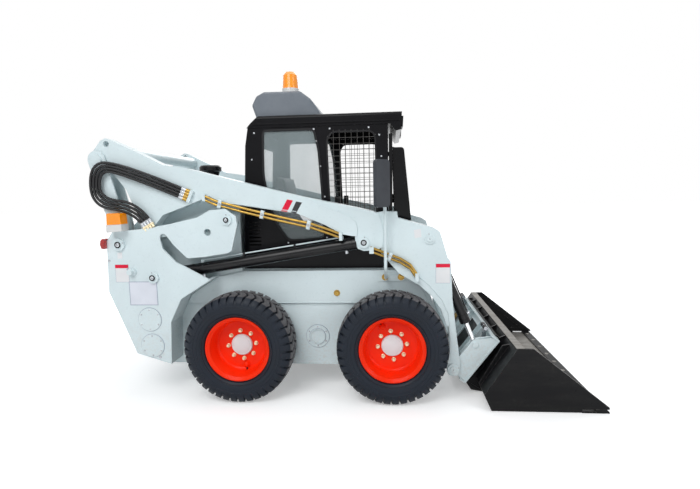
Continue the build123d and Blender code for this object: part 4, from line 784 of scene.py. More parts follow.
class LOADER_OT_tyres(bpy.types.Operator):
    """Makes the treaded tyres in place of the plain ones of the frame"""

    bl_idname = "loader.tyres"
    bl_label = "Tyres"

    def execute(self, context):
        settings = context.scene.loader_tyre
        data = tyre_form(settings.lugs, settings.groove).mesh("tyre", finish("tyre"), 28)
        for name, forward, side, _ in WHEELS:
            tyre = bpy.data.objects.new("tyre_tread_" + name, data)
            facing = Matrix.Rotation(math.pi if side > 0 else 0.0, 4, "Z")
            tyre.matrix_world = Matrix.Translation((AXLE_X + forward, side * TYRE_MIDDLE, TYRE_R)) @ facing
            context.scene.collection.objects.link(tyre)
            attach(tyre, "wheel_" + name)
            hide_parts("tyre_" + name)
        return {"FINISHED"}


RIM_DISC = 0.683  # outer face of the rim's disc, across from the middle in metres
HUB_FACE = 0.016  # of the hub beyond the disc
NUT_CIRCLE = 0.102
NUT_START = 5.5
LUG_NUT = (
    # sides and profile (along the stud, radius) of the washer, the nut and the stud's end
    (20, ((0, 15), (2, 15), (3, 13.4))),
    (6, ((2.5, 12.8), (14, 12.8), (16, 11))),
    (12, ((15, 6.8), (21, 6.8), (22, 6))),
)
DISC_WELD = (184.5, 12, 5.0)  # radius, depth beyond the disc, thickness
VALVE_GUARD = ((-6, 25), (4, 24), (12, 20), (17, 14), (19.5, 7), (20, 0.4))
VALVE = ((0, 5), (10, 4.4), (11, 5.2), (19, 5), (20, 4))
HUB_CAP = ((-0.3, 60), (1.5, 60), (2.6, 58), (2.6, 0.2))


class LOADER_OT_wheel_fittings(bpy.types.Operator):
    """Makes the lug nuts, weld rings, valves with their guards and hub caps of the wheels"""

    bl_idname = "loader.wheel_fittings"
    bl_label = "Wheel fittings"

    def execute(self, context):
        for name, forward, side, valve_turn in WHEELS:
            body = "wheel_" + name
            out = Vector((0, side, 0))
            centre = Vector((AXLE_X + forward, side * RIM_DISC, TYRE_R))
            nuts, rim, valve, cap = Form(), Form(), Form(), Form()
            for turn in turns(8, NUT_START):
                for sides, profile in LUG_NUT:
                    nuts.turned(centre + ray(turn) * NUT_CIRCLE, out, profile, sides)
            nuts.piece("lug_nuts_" + name, finish("pale_zinc"), body, "zinc")
            radius, depth, thick = DISC_WELD
            outward = [ray(turn) for turn in turns(72)]
            rim.hoop([centre + way * radius * MM + out * depth * MM for way in outward], outward, out, thick)
            way = ray(valve_turn)
            rim.turned(centre + way * 0.150, out + way * 0.35, VALVE_GUARD, 24)
            rim.piece("rim_welds_" + name, finish("rim"), body, "rim_paint")
            valve.turned(centre + way * 0.168 + out * 0.004, way + out * 1.2, VALVE, 12)
            valve.piece("valve_" + name, finish("plastic"), body, "black_plastic")
            nose = centre + out * HUB_FACE
            cap.turned(nose, out, HUB_CAP, 40)
            for turn in turns(6):
                cap.bolt(nose + ray(turn) * 0.067, out, 8, 3.5, washer=False)
            cap.piece("hub_cap_" + name, finish("hub"), body, "hub_paint")
        return {"FINISHED"}


# ---- body fittings --------------------------------------------------------------------

PINS = (
    # forward, height, face across, body, pin radius, angle of the locking screw
    (-1907, 1115, 752, "chassis", 24, 20),
    (-1121, 1277, 752, "chassis", 20, 85),
    (-1671, 879, 752, "chassis", 22, 90),
    (-186, 1104, 694, "lift_arm", 22, 80),
    (260, 1123, 679, "lift_arm", 20, 100),
    (420, 210, 679, "lift_arm", 22, 20),
)
# radius and depth of the grey ring at a cover's edge, a painted shadow line
COVER_SHADOW_RING = (85.5, -4.4)
COVERS = (
    # forward, height, outer face, radii of the painted shadow rings round the covers' edges with how far each
    # lies from that face
    (-543, 404, 550, (COVER_SHADOW_RING, (59, 0.6))),
    (-1718, 576, 735, (COVER_SHADOW_RING,)),
    (-1709, 385, 735, (COVER_SHADOW_RING,)),
)
COVER_SCREW_CIRCLE = 71
UPRIGHT_SCREWS = ((-1856, 940), (-1990, 1000), (-1660, 300))
RAIL_BOLTS = ((-46, 566, 843), (67, 566, 843), (-393, 560, 728))
CAB_SCREWS = (
    (-545, 1905), (-529, 1820), (-505, 1640), (-478, 1420), (-465, 1270), (-470, 1120), (-985, 1890),
    (-1010, 1700), (-1030, 1480), (-75, 1850), (-62, 1700), (-70, 1360), (-150, 1905), (-430, 1905),
    (-760, 1085), (-300, 1150),
)
DOOR_LEAN = 0.205  # how far the rear door's face comes forward for each unit of height


class LOADER_OT_bolts(bpy.types.Operator):
    """Makes the pin ends, cover screws, painted shadow rings round the covers, rail bolts, cab screws and
    door catches
    """

    bl_idname = "loader.bolts"
    bl_label = "Bolts and pin ends"

    def execute(self, context):
        for body in ("chassis", "lift_arm"):
            self.pin_ends(body)
        screws, shadow_rings = Form(), Form()
        for x, z, face, edges in COVERS:
            for turn in turns(6, 30):
                seat = on_right(x, face - 0.5, z) + ray(turn) * COVER_SCREW_CIRCLE * MM
                screws.bolt(seat, RIGHT, 8, 4)
            # a thin grey ring round each cover: a painted shadow line where the cover meets the panel
            for radius, depth in edges:
                middle = on_right(x, face + depth, z)
                shadow_rings.tube([middle + ray(7.5 * index) * radius * MM for index in range(49)], 1.7, 6)
        shadow_rings.both_sides().piece("cover_shadow_rings", finish("plate_edge"), "chassis", "body_paint")
        for x, z in UPRIGHT_SCREWS:
            screws.bolt(on_right(x, 730, z), RIGHT, 13, 6)
        screws.both_sides().piece("cover_screws", finish("zinc"), "chassis", "zinc")
        rail = Form()
        for x, face, z in RAIL_BOLTS:
            rail.turned(on_right(x, face, z), RIGHT, ((0, 23), (3, 23), (3.2, 12)), 24)
            rail.bolt(on_right(x, face + 3, z), RIGHT, 30, 13, washer=False)
        rail.both_sides().piece("rail_bolts", finish("gold"), "chassis", "gold_pipe")
        cab = Form()
        for x, z in CAB_SCREWS:
            cab.bolt(on_right(x, 450, z), RIGHT, 8, 3.5)
        cab.both_sides().piece("cab_screws", finish("zinc"), "chassis", "zinc")
        back = Form()
        for y in (-470, 470):
            for z in (420, 1100):
                back.bolt(spot(-1875 - (z - 420) * DOOR_LEAN, y, z), -AHEAD, 16, 8)
        back.piece("door_catches", finish("zinc"), "rear_door", "zinc")
        return {"FINISHED"}

    def pin_ends(self, body):
        """A black ring round each pin, its domed zinc centre with a grease nipple, and its locking screw."""
        domes, rings = Form(), Form()
        for x, z, face, rides, pin_r, turn in PINS:
            if rides != body:
                continue
            centre = on_right(x, face, z)
            rings.turned(centre, RIGHT, ((-2, pin_r - 1), (1.2, pin_r - 1), (2.2, pin_r - 2), (2.2, 2)), 28)
            dome = ((1, pin_r * 0.6), (3.2, pin_r * 0.58), (4.5, pin_r * 0.5))
            nipple = ((4.5, 6), (6, 5), (9, 3), (11, 3.4), (13, 2.2))
            domes.turned(centre, RIGHT, dome + nipple, 24)
            screw = centre + ray(turn) * (pin_r + 16) * MM - RIGHT * MM
            domes.bolt(screw, RIGHT, 8, 4.5, washer=False)
        domes.both_sides().piece("pin_ends_" + body, finish("zinc"), body, "zinc", 0.4)
        rings.both_sides().piece("pin_rings_" + body, finish("plastic"), body, "black_plastic")


WELDS = (
    # body, across, bead radius, points of the bead as forward, height
    ("chassis", 560.5, 2.2, ((-1380, 656), (-700, 656), (-60, 656), (258, 656))),
    ("chassis", 562, 2.6, ((-1478, 724), (-1259, 859), (-1076, 895))),
    ("chassis", 730.5, 2.6,
     ((-1500, 985), (-1450, 961), (-1262, 860), (-1480, 725), (-1564, 560), (-1578, 262))),
    ("lift_arm", 690.5, 2.6, ((-1246, 1440), (-1156, 1395), (-637, 1323))),
    ("lift_arm", 683, 3.0, ((-632, 1430), (-449, 1240), (-330, 1174), (-248, 1152))),
    ("lift_arm", 670.5, 2.4, ((150, 898), (262, 800), (344, 700), (385, 603), (402, 480))),
    ("lift_arm", 671, 2.8, ((-96, 1304), (-66, 1180), (-70, 1070))),
)


class LOADER_OT_weld_seams(bpy.types.Operator):
    """Makes the weld beads along the plates of the body, the uprights and the arms"""

    bl_idname = "loader.weld_seams"
    bl_label = "Weld seams"

    def execute(self, context):
        for body in ("chassis", "lift_arm"):
            form = Form()
            for rides, across, radius, points in WELDS:
                if rides == body:
                    form.beads([on_right(x, across, z) for x, z in stepped(points, 6)], radius, 0.22)
            form.both_sides().piece("weld_beads_" + body, finish("body"), body, "body_paint")
        return {"FINISHED"}


def upright_sheet(x0, z0, x1, z1):
    """The corners of an upright rectangle in the side view."""
    return ((x0, z0), (x1, z0), (x1, z1), (x0, z1))


UPRIGHT_FACE, ARM_FACE, LEG_FACE = 730, 690, 670
FILMS = (
    # name, finish, slot, body, thickness, its shapes as face across and corners
    ("red_stripes", "red_film", "body_paint", "lift_arm", 0.5,
     ((ARM_FACE, ((-750, 1330), (-705, 1408), (-664, 1400), (-708, 1323))),)),
    ("black_stripes", "black_film", "black_paint", "lift_arm", 0.5,
     ((ARM_FACE, ((-681, 1319), (-643, 1393), (-602, 1385), (-646, 1311))),)),
    ("warning_plates_body", "white_film", "white_plastic", "chassis", 0.5,
     ((UPRIGHT_FACE, upright_sheet(-1948, 849, -1852, 972)),
      (UPRIGHT_FACE, ((-1925, 1015), (-1890, 1018), (-1890, 1060), (-1925, 1057))))),
    ("warning_plates_arm", "white_film", "white_plastic", "lift_arm", 0.5,
     ((LEG_FACE, upright_sheet(302, 820, 396, 951)),
      (LEG_FACE, ((160, 1128), (206, 1136), (200, 1192), (154, 1184))))),
    ("red_heads_body", "red_film", "red_lens", "chassis", 0.8,
     ((UPRIGHT_FACE + 0.5, upright_sheet(-1948, 948, -1852, 972)),)),
    ("red_heads_arm", "red_film", "red_lens", "lift_arm", 0.8,
     ((LEG_FACE + 0.5, upright_sheet(302, 927, 396, 951)),)),
    ("blank_plate_edge", "plate_edge", "white_plastic", "chassis", 0.8,
     ((UPRIGHT_FACE, upright_sheet(-1856, 680, -1649, 851)),)),
    ("blank_plate_body", "plate", "white_plastic", "chassis", 1.2,
     ((UPRIGHT_FACE, upright_sheet(-1851, 685, -1654, 846)),)),
    ("warning_edges_body", "plate_edge", "white_plastic", "chassis", 0.3,
     ((UPRIGHT_FACE, upright_sheet(-1950, 847, -1850, 974)),)),
    ("warning_edges_arm", "plate_edge", "white_plastic", "lift_arm", 0.3,
     ((LEG_FACE, upright_sheet(300, 818, 398, 953)),)),
)


class LOADER_OT_labels(bpy.types.Operator):
    """Makes the red and black stripes, the warning plates and the blank plates"""

    bl_idname = "loader.labels"
    bl_label = "Stripes and plates"

    def execute(self, context):
        for name, look, slot, body, thick, shapes in FILMS:
            form = Form()
            for face, corners in shapes:
                for side in SIDES:
                    form.plate(corners, side * (face + 0.1), side * (face + thick))
            form.piece(name, finish(look), body, slot)
        return {"FINISHED"}


# ---- pipes, hoses and cylinders -------------------------------------------------------

PIPE_CLAMPS = (
    # forward, height of the upper pipe, slope in degrees, face, half height of the clamp
    (-1175, 1399, 14, 690, 30), (-880, 1321, 14, 690, 28), (-560, 1244, 13, 690, 30),
    (-10, 1021, 22, 682, 26),
)
CLAMP_LAYERS = ((-12, 0), (10, 0), (14, 4))  # across from the middle, and how far that layer is drawn in
HOSE_UPPER = ((-1420, 1458), (-1885, 1664), (-2040, 1645), (-2040, 1520))
HOSE_LOWER = ((-2040, 1520), (-2040, 1410), (-1760, 1374), (-1690, 1250))
HOSE_LANES = (-31.5, -10.5, 10.5, 31.5)
HOSE_SPLIT = (-2040, 745)  # forward and across, where the two halves of a hose meet
HOSE_SLOPE = 0.0643  # lean of the sheet of hoses towards the middle
UPPER_FERRULE = ((0, 10.6), (2, 12.4), (9, 12.4), (11, 11.6), (13, 12.4), (20, 12.4), (22, 11.6), (24, 12.4),
                 (30, 12.2), (31, 9.5))
LOWER_FERRULE = ((0, 10.6), (2, 12.4), (10, 12.4), (12, 11.6), (14, 12.4), (22, 12.4), (24, 11.6), (26, 12.4),
                 (33, 12.2))
UPPER_NUT = ((0, 12.8), (13, 12.8), (14, 11), (15, 9), (36, 9))
LOWER_NUT = ((0, 12.8), (14, 12.8), (15, 10), (17, 9), (34, 9))


def lane_points(route, shift, side):
    """A hose's control points: the route moved sideways by shift in the leaning sheet of the hoses."""
    corners = [Vector((x - HOSE_SPLIT[0], z)) for x, z in route]
    runs = [(b - a).normalized() for a, b in zip(corners, corners[1:])]
    points = []
    for index, corner in enumerate(corners):
        before, after = runs[max(index - 1, 0)], runs[min(index, len(runs) - 1)]
        miter = Vector((before.y + after.y, -before.x - after.x))
        place = corner + miter * (2 / miter.length_squared) * shift
        along = place.x / math.hypot(1, HOSE_SLOPE)
        points.append(spot(HOSE_SPLIT[0] + along, side * (HOSE_SPLIT[1] - along * HOSE_SLOPE), place.y))
    return points


def smooth_line(points, steps=28):
    """Points along the NURBS spline that has these control points."""
    curve = bpy.data.curves.new("route", "CURVE")
    curve.dimensions = "3D"
    spline = curve.splines.new("NURBS")
    spline.points.add(len(points) - 1)
    for control, point in zip(spline.points, points):
        control.co = (*point, 1)
    spline.order_u = 3
    spline.use_endpoint_u = True
    spline.resolution_u = steps
    carrier = bpy.data.objects.new("route", curve)
    line = bpy.data.meshes.new_from_object(carrier)
    found = [v.co.copy() for v in line.vertices]
    bpy.data.objects.remove(carrier)
    bpy.data.curves.remove(curve)
    bpy.data.meshes.remove(line)
    return found


def even(points, step):
    """The same line with points a fixed distance apart, and its own last point."""
    out, left = [points[0]], step
    for a, b in zip(points, points[1:]):
        run = (b - a).length
        while run > 1e-9 and left <= run:
            a = a + (b - a) * (left / run)
            out.append(a)
            run = (b - a).length
            left = step
        left -= run
    if (points[-1] - out[-1]).length < step / 4:
        out.pop()
    return out + [points[-1]]


class LOADER_OT_hoses(bpy.types.Operator):
    """Makes the four guarded hoses on each side"""

    bl_idname = "loader.hoses"
    bl_label = "Hoses"

    def execute(self, context):
        settings = context.scene.loader_hose
        radius, pitch = settings.radius / MM, settings.guard_pitch
        guard = (1.0, 0.985, 0.86)
        for half, route, bodies, node in (
            ("upper", HOSE_UPPER, ("lift_arm", "rear_link"), "hoses_upper"),
            ("lower", HOSE_LOWER, ("rear_link", "chassis"), "hoses_lower"),
        ):
            for side, hand in ((-1, "right"), (1, "left")):
                for lane, shift in enumerate(HOSE_LANES):
                    line = even(smooth_line(lane_points(route, shift, side)), pitch / len(guard))
                    form = Form()
                    form.tube(line, radius, 10, lambda index: guard[index % len(guard)])
                    name = f"hose_{half}_{hand}_{lane + 1}"
                    hose = form.piece(name, finish("hose"), None, "hose_rubber", sharp=60)
                    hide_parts(node)
                    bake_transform(hose)
        return {"FINISHED"}


class LOADER_OT_pipework(bpy.types.Operator):
    """Makes the clamps of the arm's pipes and the crimped ends of the hoses"""

    bl_idname = "loader.pipework"
    bl_label = "Pipes and fittings"

    def execute(self, context):
        clamps, bolts = Form(), Form()
        for x, z, slope, face, half in PIPE_CLAMPS:
            turn = Matrix.Rotation(math.radians(slope), 3, "Y")
            centre = on_right(x, face + 12, z - 13)
            layers = []
            for across, inset in CLAMP_LAYERS:
                wide, tall = 13 - inset, half - inset
                layers.append([centre + turn @ Vector((a * MM, -across * MM, b * MM)) for a, b in
                               ((-wide, -tall), (wide, -tall), (wide, tall), (-wide, tall))])
            clamps.skin(layers)
            bolts.bolt(centre + RIGHT * 0.0135, RIGHT, 13, 7)
        clamps.both_sides().piece("pipe_clamps", finish("body"), "lift_arm", "body_paint", 1.0)
        bolts.both_sides().piece("pipe_clamp_bolts", finish("zinc"), "lift_arm", "zinc")
        ferrules, nuts = Form(), Form()
        for shift in HOSE_LANES:
            start, after = lane_points(HOSE_UPPER, shift, -1)[:2]
            run = (after - start).normalized()
            ferrules.turned(start + run * 0.03, -run, UPPER_FERRULE, 18)
            nuts.turned(start - run * 0.0005, -run, UPPER_NUT, 6)
            before, end = lane_points(HOSE_LOWER, shift, -1)[-2:]
            down = (end - before).normalized()
            ferrules.turned(end - down * 0.034, down, LOWER_FERRULE, 18)
            nuts.turned(end - down * 0.002, down, LOWER_NUT, 6)
        ferrules.both_sides().piece("hose_ferrules", finish("zinc"), "lift_arm", "zinc")
        nuts.both_sides().piece("hose_nuts", finish("pale_zinc"), "lift_arm", "zinc")
        return {"FINISHED"}


# forward, across and height of a cylinder's base pin and of its rod's eye
LIFT_PINS = ((-1671, 640, 879), (-186, 640, 1104))
TILT_PINS = ((260, 615, 1123), (575, 615, 378))
# collars as distance from the base pin in metres, and profile
LIFT_COLLARS = (
    (1.418, ((0, 42.4), (2, 47), (30, 47), (33, 44.5), (35, 34), (37, 24.5))),
    (0.052, ((0, 42.4), (2, 45), (26, 45), (28, 42.4))),
)
TILT_COLLARS = (
    (0.616, ((0, 34.4), (2, 38), (24, 38), (27, 35), (28, 26), (30, 18.4))),
    (0.05, ((0, 34.4), (2, 36.5), (20, 36.5), (22, 34.4))),
)
# ports as distances from the base pin and out from the barrel's middle, then the boss and the nut on it
LIFT_PORTS = ((0.325, 1.372), 0.040, ((0, 13), (6, 13), (7, 11), (14, 11)),
              0.012, ((0, 12.8), (9, 12.8), (10, 10)))
TILT_PORTS = ((0.09, 0.15, 0.59), 0.033, ((0, 12), (5, 12), (6, 10), (13, 10)),
              0.010, ((0, 12.4), (8, 12.4), (9, 8)))
GLAND = ((0, 33), (1.5, 31), (1.5, 22.6))
GLAND_SCREW = ((0, 3.8), (3, 3.8), (3.6, 3))


class LOADER_OT_cylinders(bpy.types.Operator):
    """Makes the collars, glands, ports and pipes of the cylinders"""

    bl_idname = "loader.cylinders"
    bl_label = "Cylinder fittings"

    def execute(self, context):
        base, run = self.line(LIFT_PINS)
        self.collars(base, run, LIFT_COLLARS, 40).piece(
            "lift_cylinder_collars", finish("black"), "lift_barrel", "cylinder_paint", 0.6)
        gland = Form()
        gland.turned(base + run * 1.4535, run, GLAND, 32)
        side = run.orthogonal().normalized()
        other = run.cross(side)
        for turn in turns(6):
            way = side * math.cos(math.radians(turn)) + other * math.sin(math.radians(turn))
            gland.turned(base + run * 1.451 + way * 0.0395, run, GLAND_SCREW, 8)
        gland.both_sides().piece("lift_cylinder_glands", finish("zinc"), "lift_barrel", "zinc")
        self.ports(base, run, run.cross(RIGHT), LIFT_PORTS, 18).piece(
            "lift_cylinder_ports", finish("zinc"), "lift_barrel", "zinc")
        base, run = self.line(TILT_PINS)
        self.collars(base, run, TILT_COLLARS, 36).piece(
            "tilt_cylinder_collars", finish("black"), "tilt_barrel", "cylinder_paint", 0.6)
        front = Vector((-run.z, 0, run.x))
        pipe = Form()
        pipe.tube([base + run * along + front * 0.0405 for along in (0.162, 0.3, 0.44, 0.578)], 5, 10)
        pipe.both_sides().piece("tilt_cylinder_pipes", finish("black"), "tilt_barrel", "cylinder_paint")
        self.ports(base, run, front, TILT_PORTS, 16).piece(
            "tilt_cylinder_ports", finish("zinc"), "tilt_barrel", "zinc")
        return {"FINISHED"}

    def line(self, pins):
        """Where a cylinder's axis starts, and its direction."""
        base, eye = (on_right(*pin) for pin in pins)
        return base, (eye - base).normalized()

    def collars(self, base, run, collars, sides):
        """Turned collars at their distances along a barrel."""
        form = Form()
        for along, profile in collars:
            form.turned(base + run * along, run, profile, sides)
        return form.both_sides()

    def ports(self, base, run, out, ports, sides):
        """Bosses with hexagon nuts that stand out of a barrel."""
        places, reach, boss, step, nut = ports
        form = Form()
        for along in places:
            root = base + run * along + out * reach
            form.turned(root, out, boss, sides)
            form.turned(root + out * step, out, nut, 6)
        return form.both_sides()


# ---- cab ------------------------------------------------------------------------------

# the panes' outlines as forward, height
WIRE_WINDOW = ((-458, 1825), (-420, 1884), (-127, 1884), (-101, 1840), (-92, 1316), (-120, 1180),
               (-440, 1180))
REAR_WINDOW = ((-925, 1908), (-543, 1908), (-511, 1756), (-490, 1411), (-480, 1110), (-760, 1098),
               (-855, 1241), (-905, 1420), (-931, 1587))
WIRE_STEP = 43
WIRE_OVERLAP = 12  # how far a wire runs on behind the window's edge
WIRE_R = 1.7
SEAL_CORNER = 36


def crossing(outline, value, axis):
    """Where a straight wire at that forward (axis 0) or height (axis 1) enters and leaves an outline."""
    cuts = []
    for a, b in zip(outline, outline[1:] + outline[:1]):
        if (a[axis] - value) * (b[axis] - value) < 0:
            share = (value - a[axis]) / (b[axis] - a[axis])
            cuts.append(a[1 - axis] + (b[1 - axis] - a[1 - axis]) * share)
    return min(cuts) - WIRE_OVERLAP, max(cuts) + WIRE_OVERLAP


def rounded(outline, radius):
    """The outline with its corners rounded."""
    out = []
    count = len(outline)
    for index, corner in enumerate(outline):
        here = Vector(corner)
        ends = []
        for near in (Vector(outline[index - 1]), Vector(outline[(index + 1) % count])):
            reach = min(radius, (near - here).length * 0.45)
            ends.append(here + (near - here).normalized() * reach)
        a, b = ends
        out += [a.lerp(here, t).lerp(here.lerp(b, t), t) for t in (0, 0.2, 0.4, 0.6, 0.8, 1)]
    return out


def pane_seal(form, outline, low, high, inset):
    """A rubber lip round a side pane, from low to high across the machine and inset wide."""
    line = rounded(outline, SEAL_CORNER)
    count = len(line)
    middle = sum(line, Vector((0, 0))) / count
    lip = ((-3, low), (-3, high), (inset * 0.5, high + 1.5), (inset, high), (inset, low))
    rings = []
    for index, here in enumerate(line):
        along = (line[(index + 1) % count] - line[index - 1]).normalized()
        inward = Vector((-along.y, along.x))
        if (middle - here).dot(inward) < 0:
            inward = -inward
        places = [(here + inward * a, y) for a, y in lip]
        rings.append([on_right(place.x, y, place.y) for place, y in places])
    form.skin(rings, closed=True)


class LOADER_OT_window_guards(bpy.types.Operator):
    """Makes the wire mesh guards of the side windows and the rubber seals round the panes"""

    bl_idname = "loader.window_guards"
    bl_label = "Window guards and seals"

    def execute(self, context):
        wires = Form()
        for x in range(-448, -95, WIRE_STEP):
            wires.tube([on_right(x, 449, z) for z in crossing(WIRE_WINDOW, x, 0)], WIRE_R, 8)
        for z in range(1194, 1884, WIRE_STEP):
            wires.tube([on_right(x, 446.4, z) for x in crossing(WIRE_WINDOW, z, 1)], WIRE_R, 8)
        guard = wires.both_sides().piece("window_guards", finish("wire"), "chassis", "cab_paint")
        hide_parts("side_guards")
        seals = Form()
        pane_seal(seals, WIRE_WINDOW, 449, 452, 9)
        pane_seal(seals, REAR_WINDOW, 449, 452, 12)
        seals.both_sides().piece("window_seals", finish("plastic"), "chassis", "black_plastic")
        return {"FINISHED"}


HANDLE_ROUTE = ((30, -395, 1180), (70, -395, 1186), (80, -394, 1150), (96, -392, 1040), (104, -392, 1010),
                (74, -392, 1000))
LOCK = ((0, 24), (14, 24), (18, 20), (18, 9), (34, 9))
WIPER_HUB = ((0, 20), (16, 18), (22, 12))
WIPER_RODS = (
    # radius, sides, points as forward, across, height: the arm, the blade and the joint between them
    (4, 8, ((124, 0, 1236), (119, 52, 1320), (100, 150, 1520))),
    (5, 6, ((96, 150, 1330), (75, 150, 1690))),
    (5, 6, ((100, 130, 1516), (94, 150, 1508))),
)
DOOR_PANE = ((-340, 1279), (340, 1705))
DOOR_PANE_LEAN = 0.0935
DOOR_LIP = ((0, 1), (9, 1), (11, 0.3), (9, -0.8), (0, -0.8))  # out of the door, and share of its half width
GUTTER = ((452, 0), (464, 0), (464, 9), (461, 9), (461, 3), (452, 3))  # across, above the gutter's floor
GUTTER_FLOOR = 1944
SLAT_LOW, SLAT_STEP, SLAT_LEAN = 2040, 8.5, 0.27
LAMP_BARS = ((-82, 82, 1912, 1919), (-82, 82, 1981, 1988), (-82, -75, 1912, 1988), (75, 82, 1912, 1988))
LAMP_LEAN = 0.056


class LOADER_OT_cab_fittings(bpy.types.Operator):
    """Makes the door's handle, wiper and seal, the roof's gutters, grille and lamp bezels, and the buttons"""

    bl_idname = "loader.cab_fittings"
    bl_label = "Cab fittings"

    def execute(self, context):
        handle = Form()
        handle.tube(smooth_line([spot(*place) for place in HANDLE_ROUTE], 10), 9, 12)
        handle.turned(spot(34, -330, 1190), Vector((1, 0, 0.2)), LOCK, 24)
        handle.block(spot(64, -300, 1196), (12, 86, 20))
        handle.piece("door_handles", finish("plastic"), "cab_door", "black_plastic", 1.5)
        wiper = Form()
        wiper.turned(spot(112, 0, 1236), Vector((1, 0, 0.1)), WIPER_HUB, 24)
        for radius, sides, points in WIPER_RODS:
            wiper.tube([spot(*place) for place in points], radius, sides)
        wiper.piece("window_wiper", finish("plastic"), "cab_door", "black_plastic")
        seal = Form()
        rings = []
        for y, z in round_rectangle(*DOOR_PANE, 22, 6):
            y_way, z_way = (7 if y > 0 else -7), (7 if z > 1490 else -7)
            x = 111 - (z - 1220) * DOOR_PANE_LEAN
            rings.append([spot(x + out, y + y_way * wide, z + z_way * wide) for out, wide in DOOR_LIP])
        seal.skin(rings, closed=True)
        seal.piece("door_window_seal", finish("plastic"), "cab_door", "black_plastic")
        self.roof()
        post = Form()
        for z in (1560, 1602):
            post.turned(spot(-22, -450, z), RIGHT, ((0, 9), (6, 9), (8, 7), (8, 4)), 20)
        post.piece("post_buttons", finish("amber"), "chassis", "amber_lens")
        return {"FINISHED"}

    def roof(self):
        """The gutters beside the roof, the slats behind the grey pod and the bezels round the front lamps."""
        gutters, slats, lamps = Form(), Form(), Form()
        for side in SIDES:
            gutters.skin([[spot(x, side * y, GUTTER_FLOOR + rise) for y, rise in GUTTER]
                          for x in (-1000, -940, -10, 72)])
            for y0, y1, z0, z1 in LAMP_BARS:
                corners = ((y0, z0), (y1, z0), (y1, z1), (y0, z1))
                lamps.skin([[spot(82 + (z - 1915) * LAMP_LEAN + deep, side * 300 + y, z) for y, z in corners]
                            for deep in (0, 13)])
        for number in range(12):
            rise = number * SLAT_STEP
            slats.block(spot(-988.5 - rise * SLAT_LEAN, 0, SLAT_LOW + rise), (8, 620, 4.2), -15)
        gutters.piece("roof_gutters", finish("cab"), "chassis", "cab_paint", 0.8)
        slats.piece("pod_grille", finish("plastic"), "chassis", "black_plastic", 0.6)
        lamps.piece("lamp_bezels", finish("plastic"), "chassis", "black_plastic", 1.0)


CUSHION_CELLS = (26, 30)  # along and across
SEAM_DEPTH, SEAM_WIDTH = 7.0, 7.0
FOLD_DEPTH = 5.0
FOLD_PLACE, FOLD_WIDTH = 0.36, 0.02  # of the seam across, as shares of the length
SIDE_BULGE = ((0.25, 0.012), (0.5, 0.018), (0.78, 0.012))  # share of the height, share of swelling
PIPING_R = 0.0035


def cushion_surface(corners, crown, seam):
    """The point of a cushion at shares u along and v across, on its top or its underside."""
    front_low, front_high, back_high, back_low, half = corners
    over = Vector(front_high), Vector(back_high)
    under = Vector(front_low), Vector(back_low)
    middle = (under[0] + over[1]) / 2
    normal = Vector((over[0].y - over[1].y, over[1].x - over[0].x)).normalized()
    if (over[0] - under[0]).dot(normal) < 0:
        normal = -normal

    def at(u, v, top):
        first, last = over if top else under
        place = first + (last - first) * u
        edge = (1 - abs(2 * u - 1) ** 4) * (1 - abs(2 * v - 1) ** 4)
        pull = 1 - 0.05 * (1 - edge)
        if top:
            across = abs(2 * v - 1) * half
            rise = crown * edge ** 0.45 - crown
            rise -= SEAM_DEPTH * math.exp(-((across - seam) / SEAM_WIDTH) ** 2) * edge ** 0.5
            if across < seam:
                rise -= FOLD_DEPTH * math.exp(-((u - FOLD_PLACE) / FOLD_WIDTH) ** 2) * edge ** 0.5
            place = place + normal * rise
        place = middle + (place - middle) * (pull if top else 0.985)
        return spot(place.x, (2 * v - 1) * half * pull, place.y)

    return at


def piping(line):
    """An eight-sided cord round a cushion's top edge, open where its ends meet."""
    count = len(line)
    rings = []
    for index, here in enumerate(line):
        along = (line[(index + 1) % count] - line[index - 1]).normalized()
        side = along.orthogonal().normalized()
        other = along.cross(side)
        ring = [here + (side * math.cos(t) + other * math.sin(t)) * PIPING_R
                for t in (math.pi / 4 * step for step in range(8))]
        if rings:
            # turn the ring so that the cord doesn't twist
            before = rings[-1]
            best = min(range(8), key=lambda step: (ring[step] - before[0]).length)
            ring = ring[best:] + ring[:best]
            if (ring[2] - before[2]).length > (ring[6] - before[2]).length:
                ring = [ring[0]] + ring[:0:-1]
        rings.append(ring)
    return Form().skin(rings)


def cushion(name, corners, crown, seam):
    """A crowned, piped cushion. corners give its side view (forward, height) from front low, front high, back
    high, back low, and its half width; seam is how far its two long seams lie from the middle."""
    form = Form()
    nu, nv = CUSHION_CELLS
    at = cushion_surface(corners, crown, seam)
    grid = {(top, i, j): form.bm.verts.new(at(i / nu, j / nv, top))
            for top in (0, 1) for i in range(nu + 1) for j in range(nv + 1)}
    for i in range(nu):
        for j in range(nv):
            square = ((i, j), (i + 1, j), (i + 1, j + 1), (i, j + 1))
            form.bm.faces.new([grid[1, a, b] for a, b in square])
            form.bm.faces.new([grid[0, a, b] for a, b in (square[0], *square[:0:-1])])
    border = ([(i, 0) for i in range(nu)] + [(nu, j) for j in range(nv)]
              + [(i, nv) for i in range(nu, 0, -1)] + [(0, j) for j in range(nv, 0, -1)])
    rows = [[grid[0, i, j] for i, j in border]]
    centre = sum((grid[1, i, j].co for i, j in border), Vector()) / len(border)
    for share, bulge in SIDE_BULGE:
        ring = [grid[0, i, j].co.lerp(grid[1, i, j].co, share) for i, j in border]
        rows.append([form.bm.verts.new(place + (place - centre) * bulge) for place in ring])
    rows.append([grid[1, i, j] for i, j in border])
    for low, high in zip(rows, rows[1:]):
        for k in range(len(border)):
            after = (k + 1) % len(border)
            form.bm.faces.new((low[k], low[after], high[after], high[k]))
    top_edge = [vertex.co.copy() for vertex in rows[-1]]
    pad = form.piece(name, finish("vinyl"), "chassis", "seat_vinyl", sharp=80)
    smooth = pad.modifiers.new("soft surface", "SUBSURF")
    smooth.levels = smooth.render_levels = 1
    piping(top_edge).piece(name + "_piping", finish("vinyl"), "chassis", "seat_vinyl", sharp=80)
    return pad


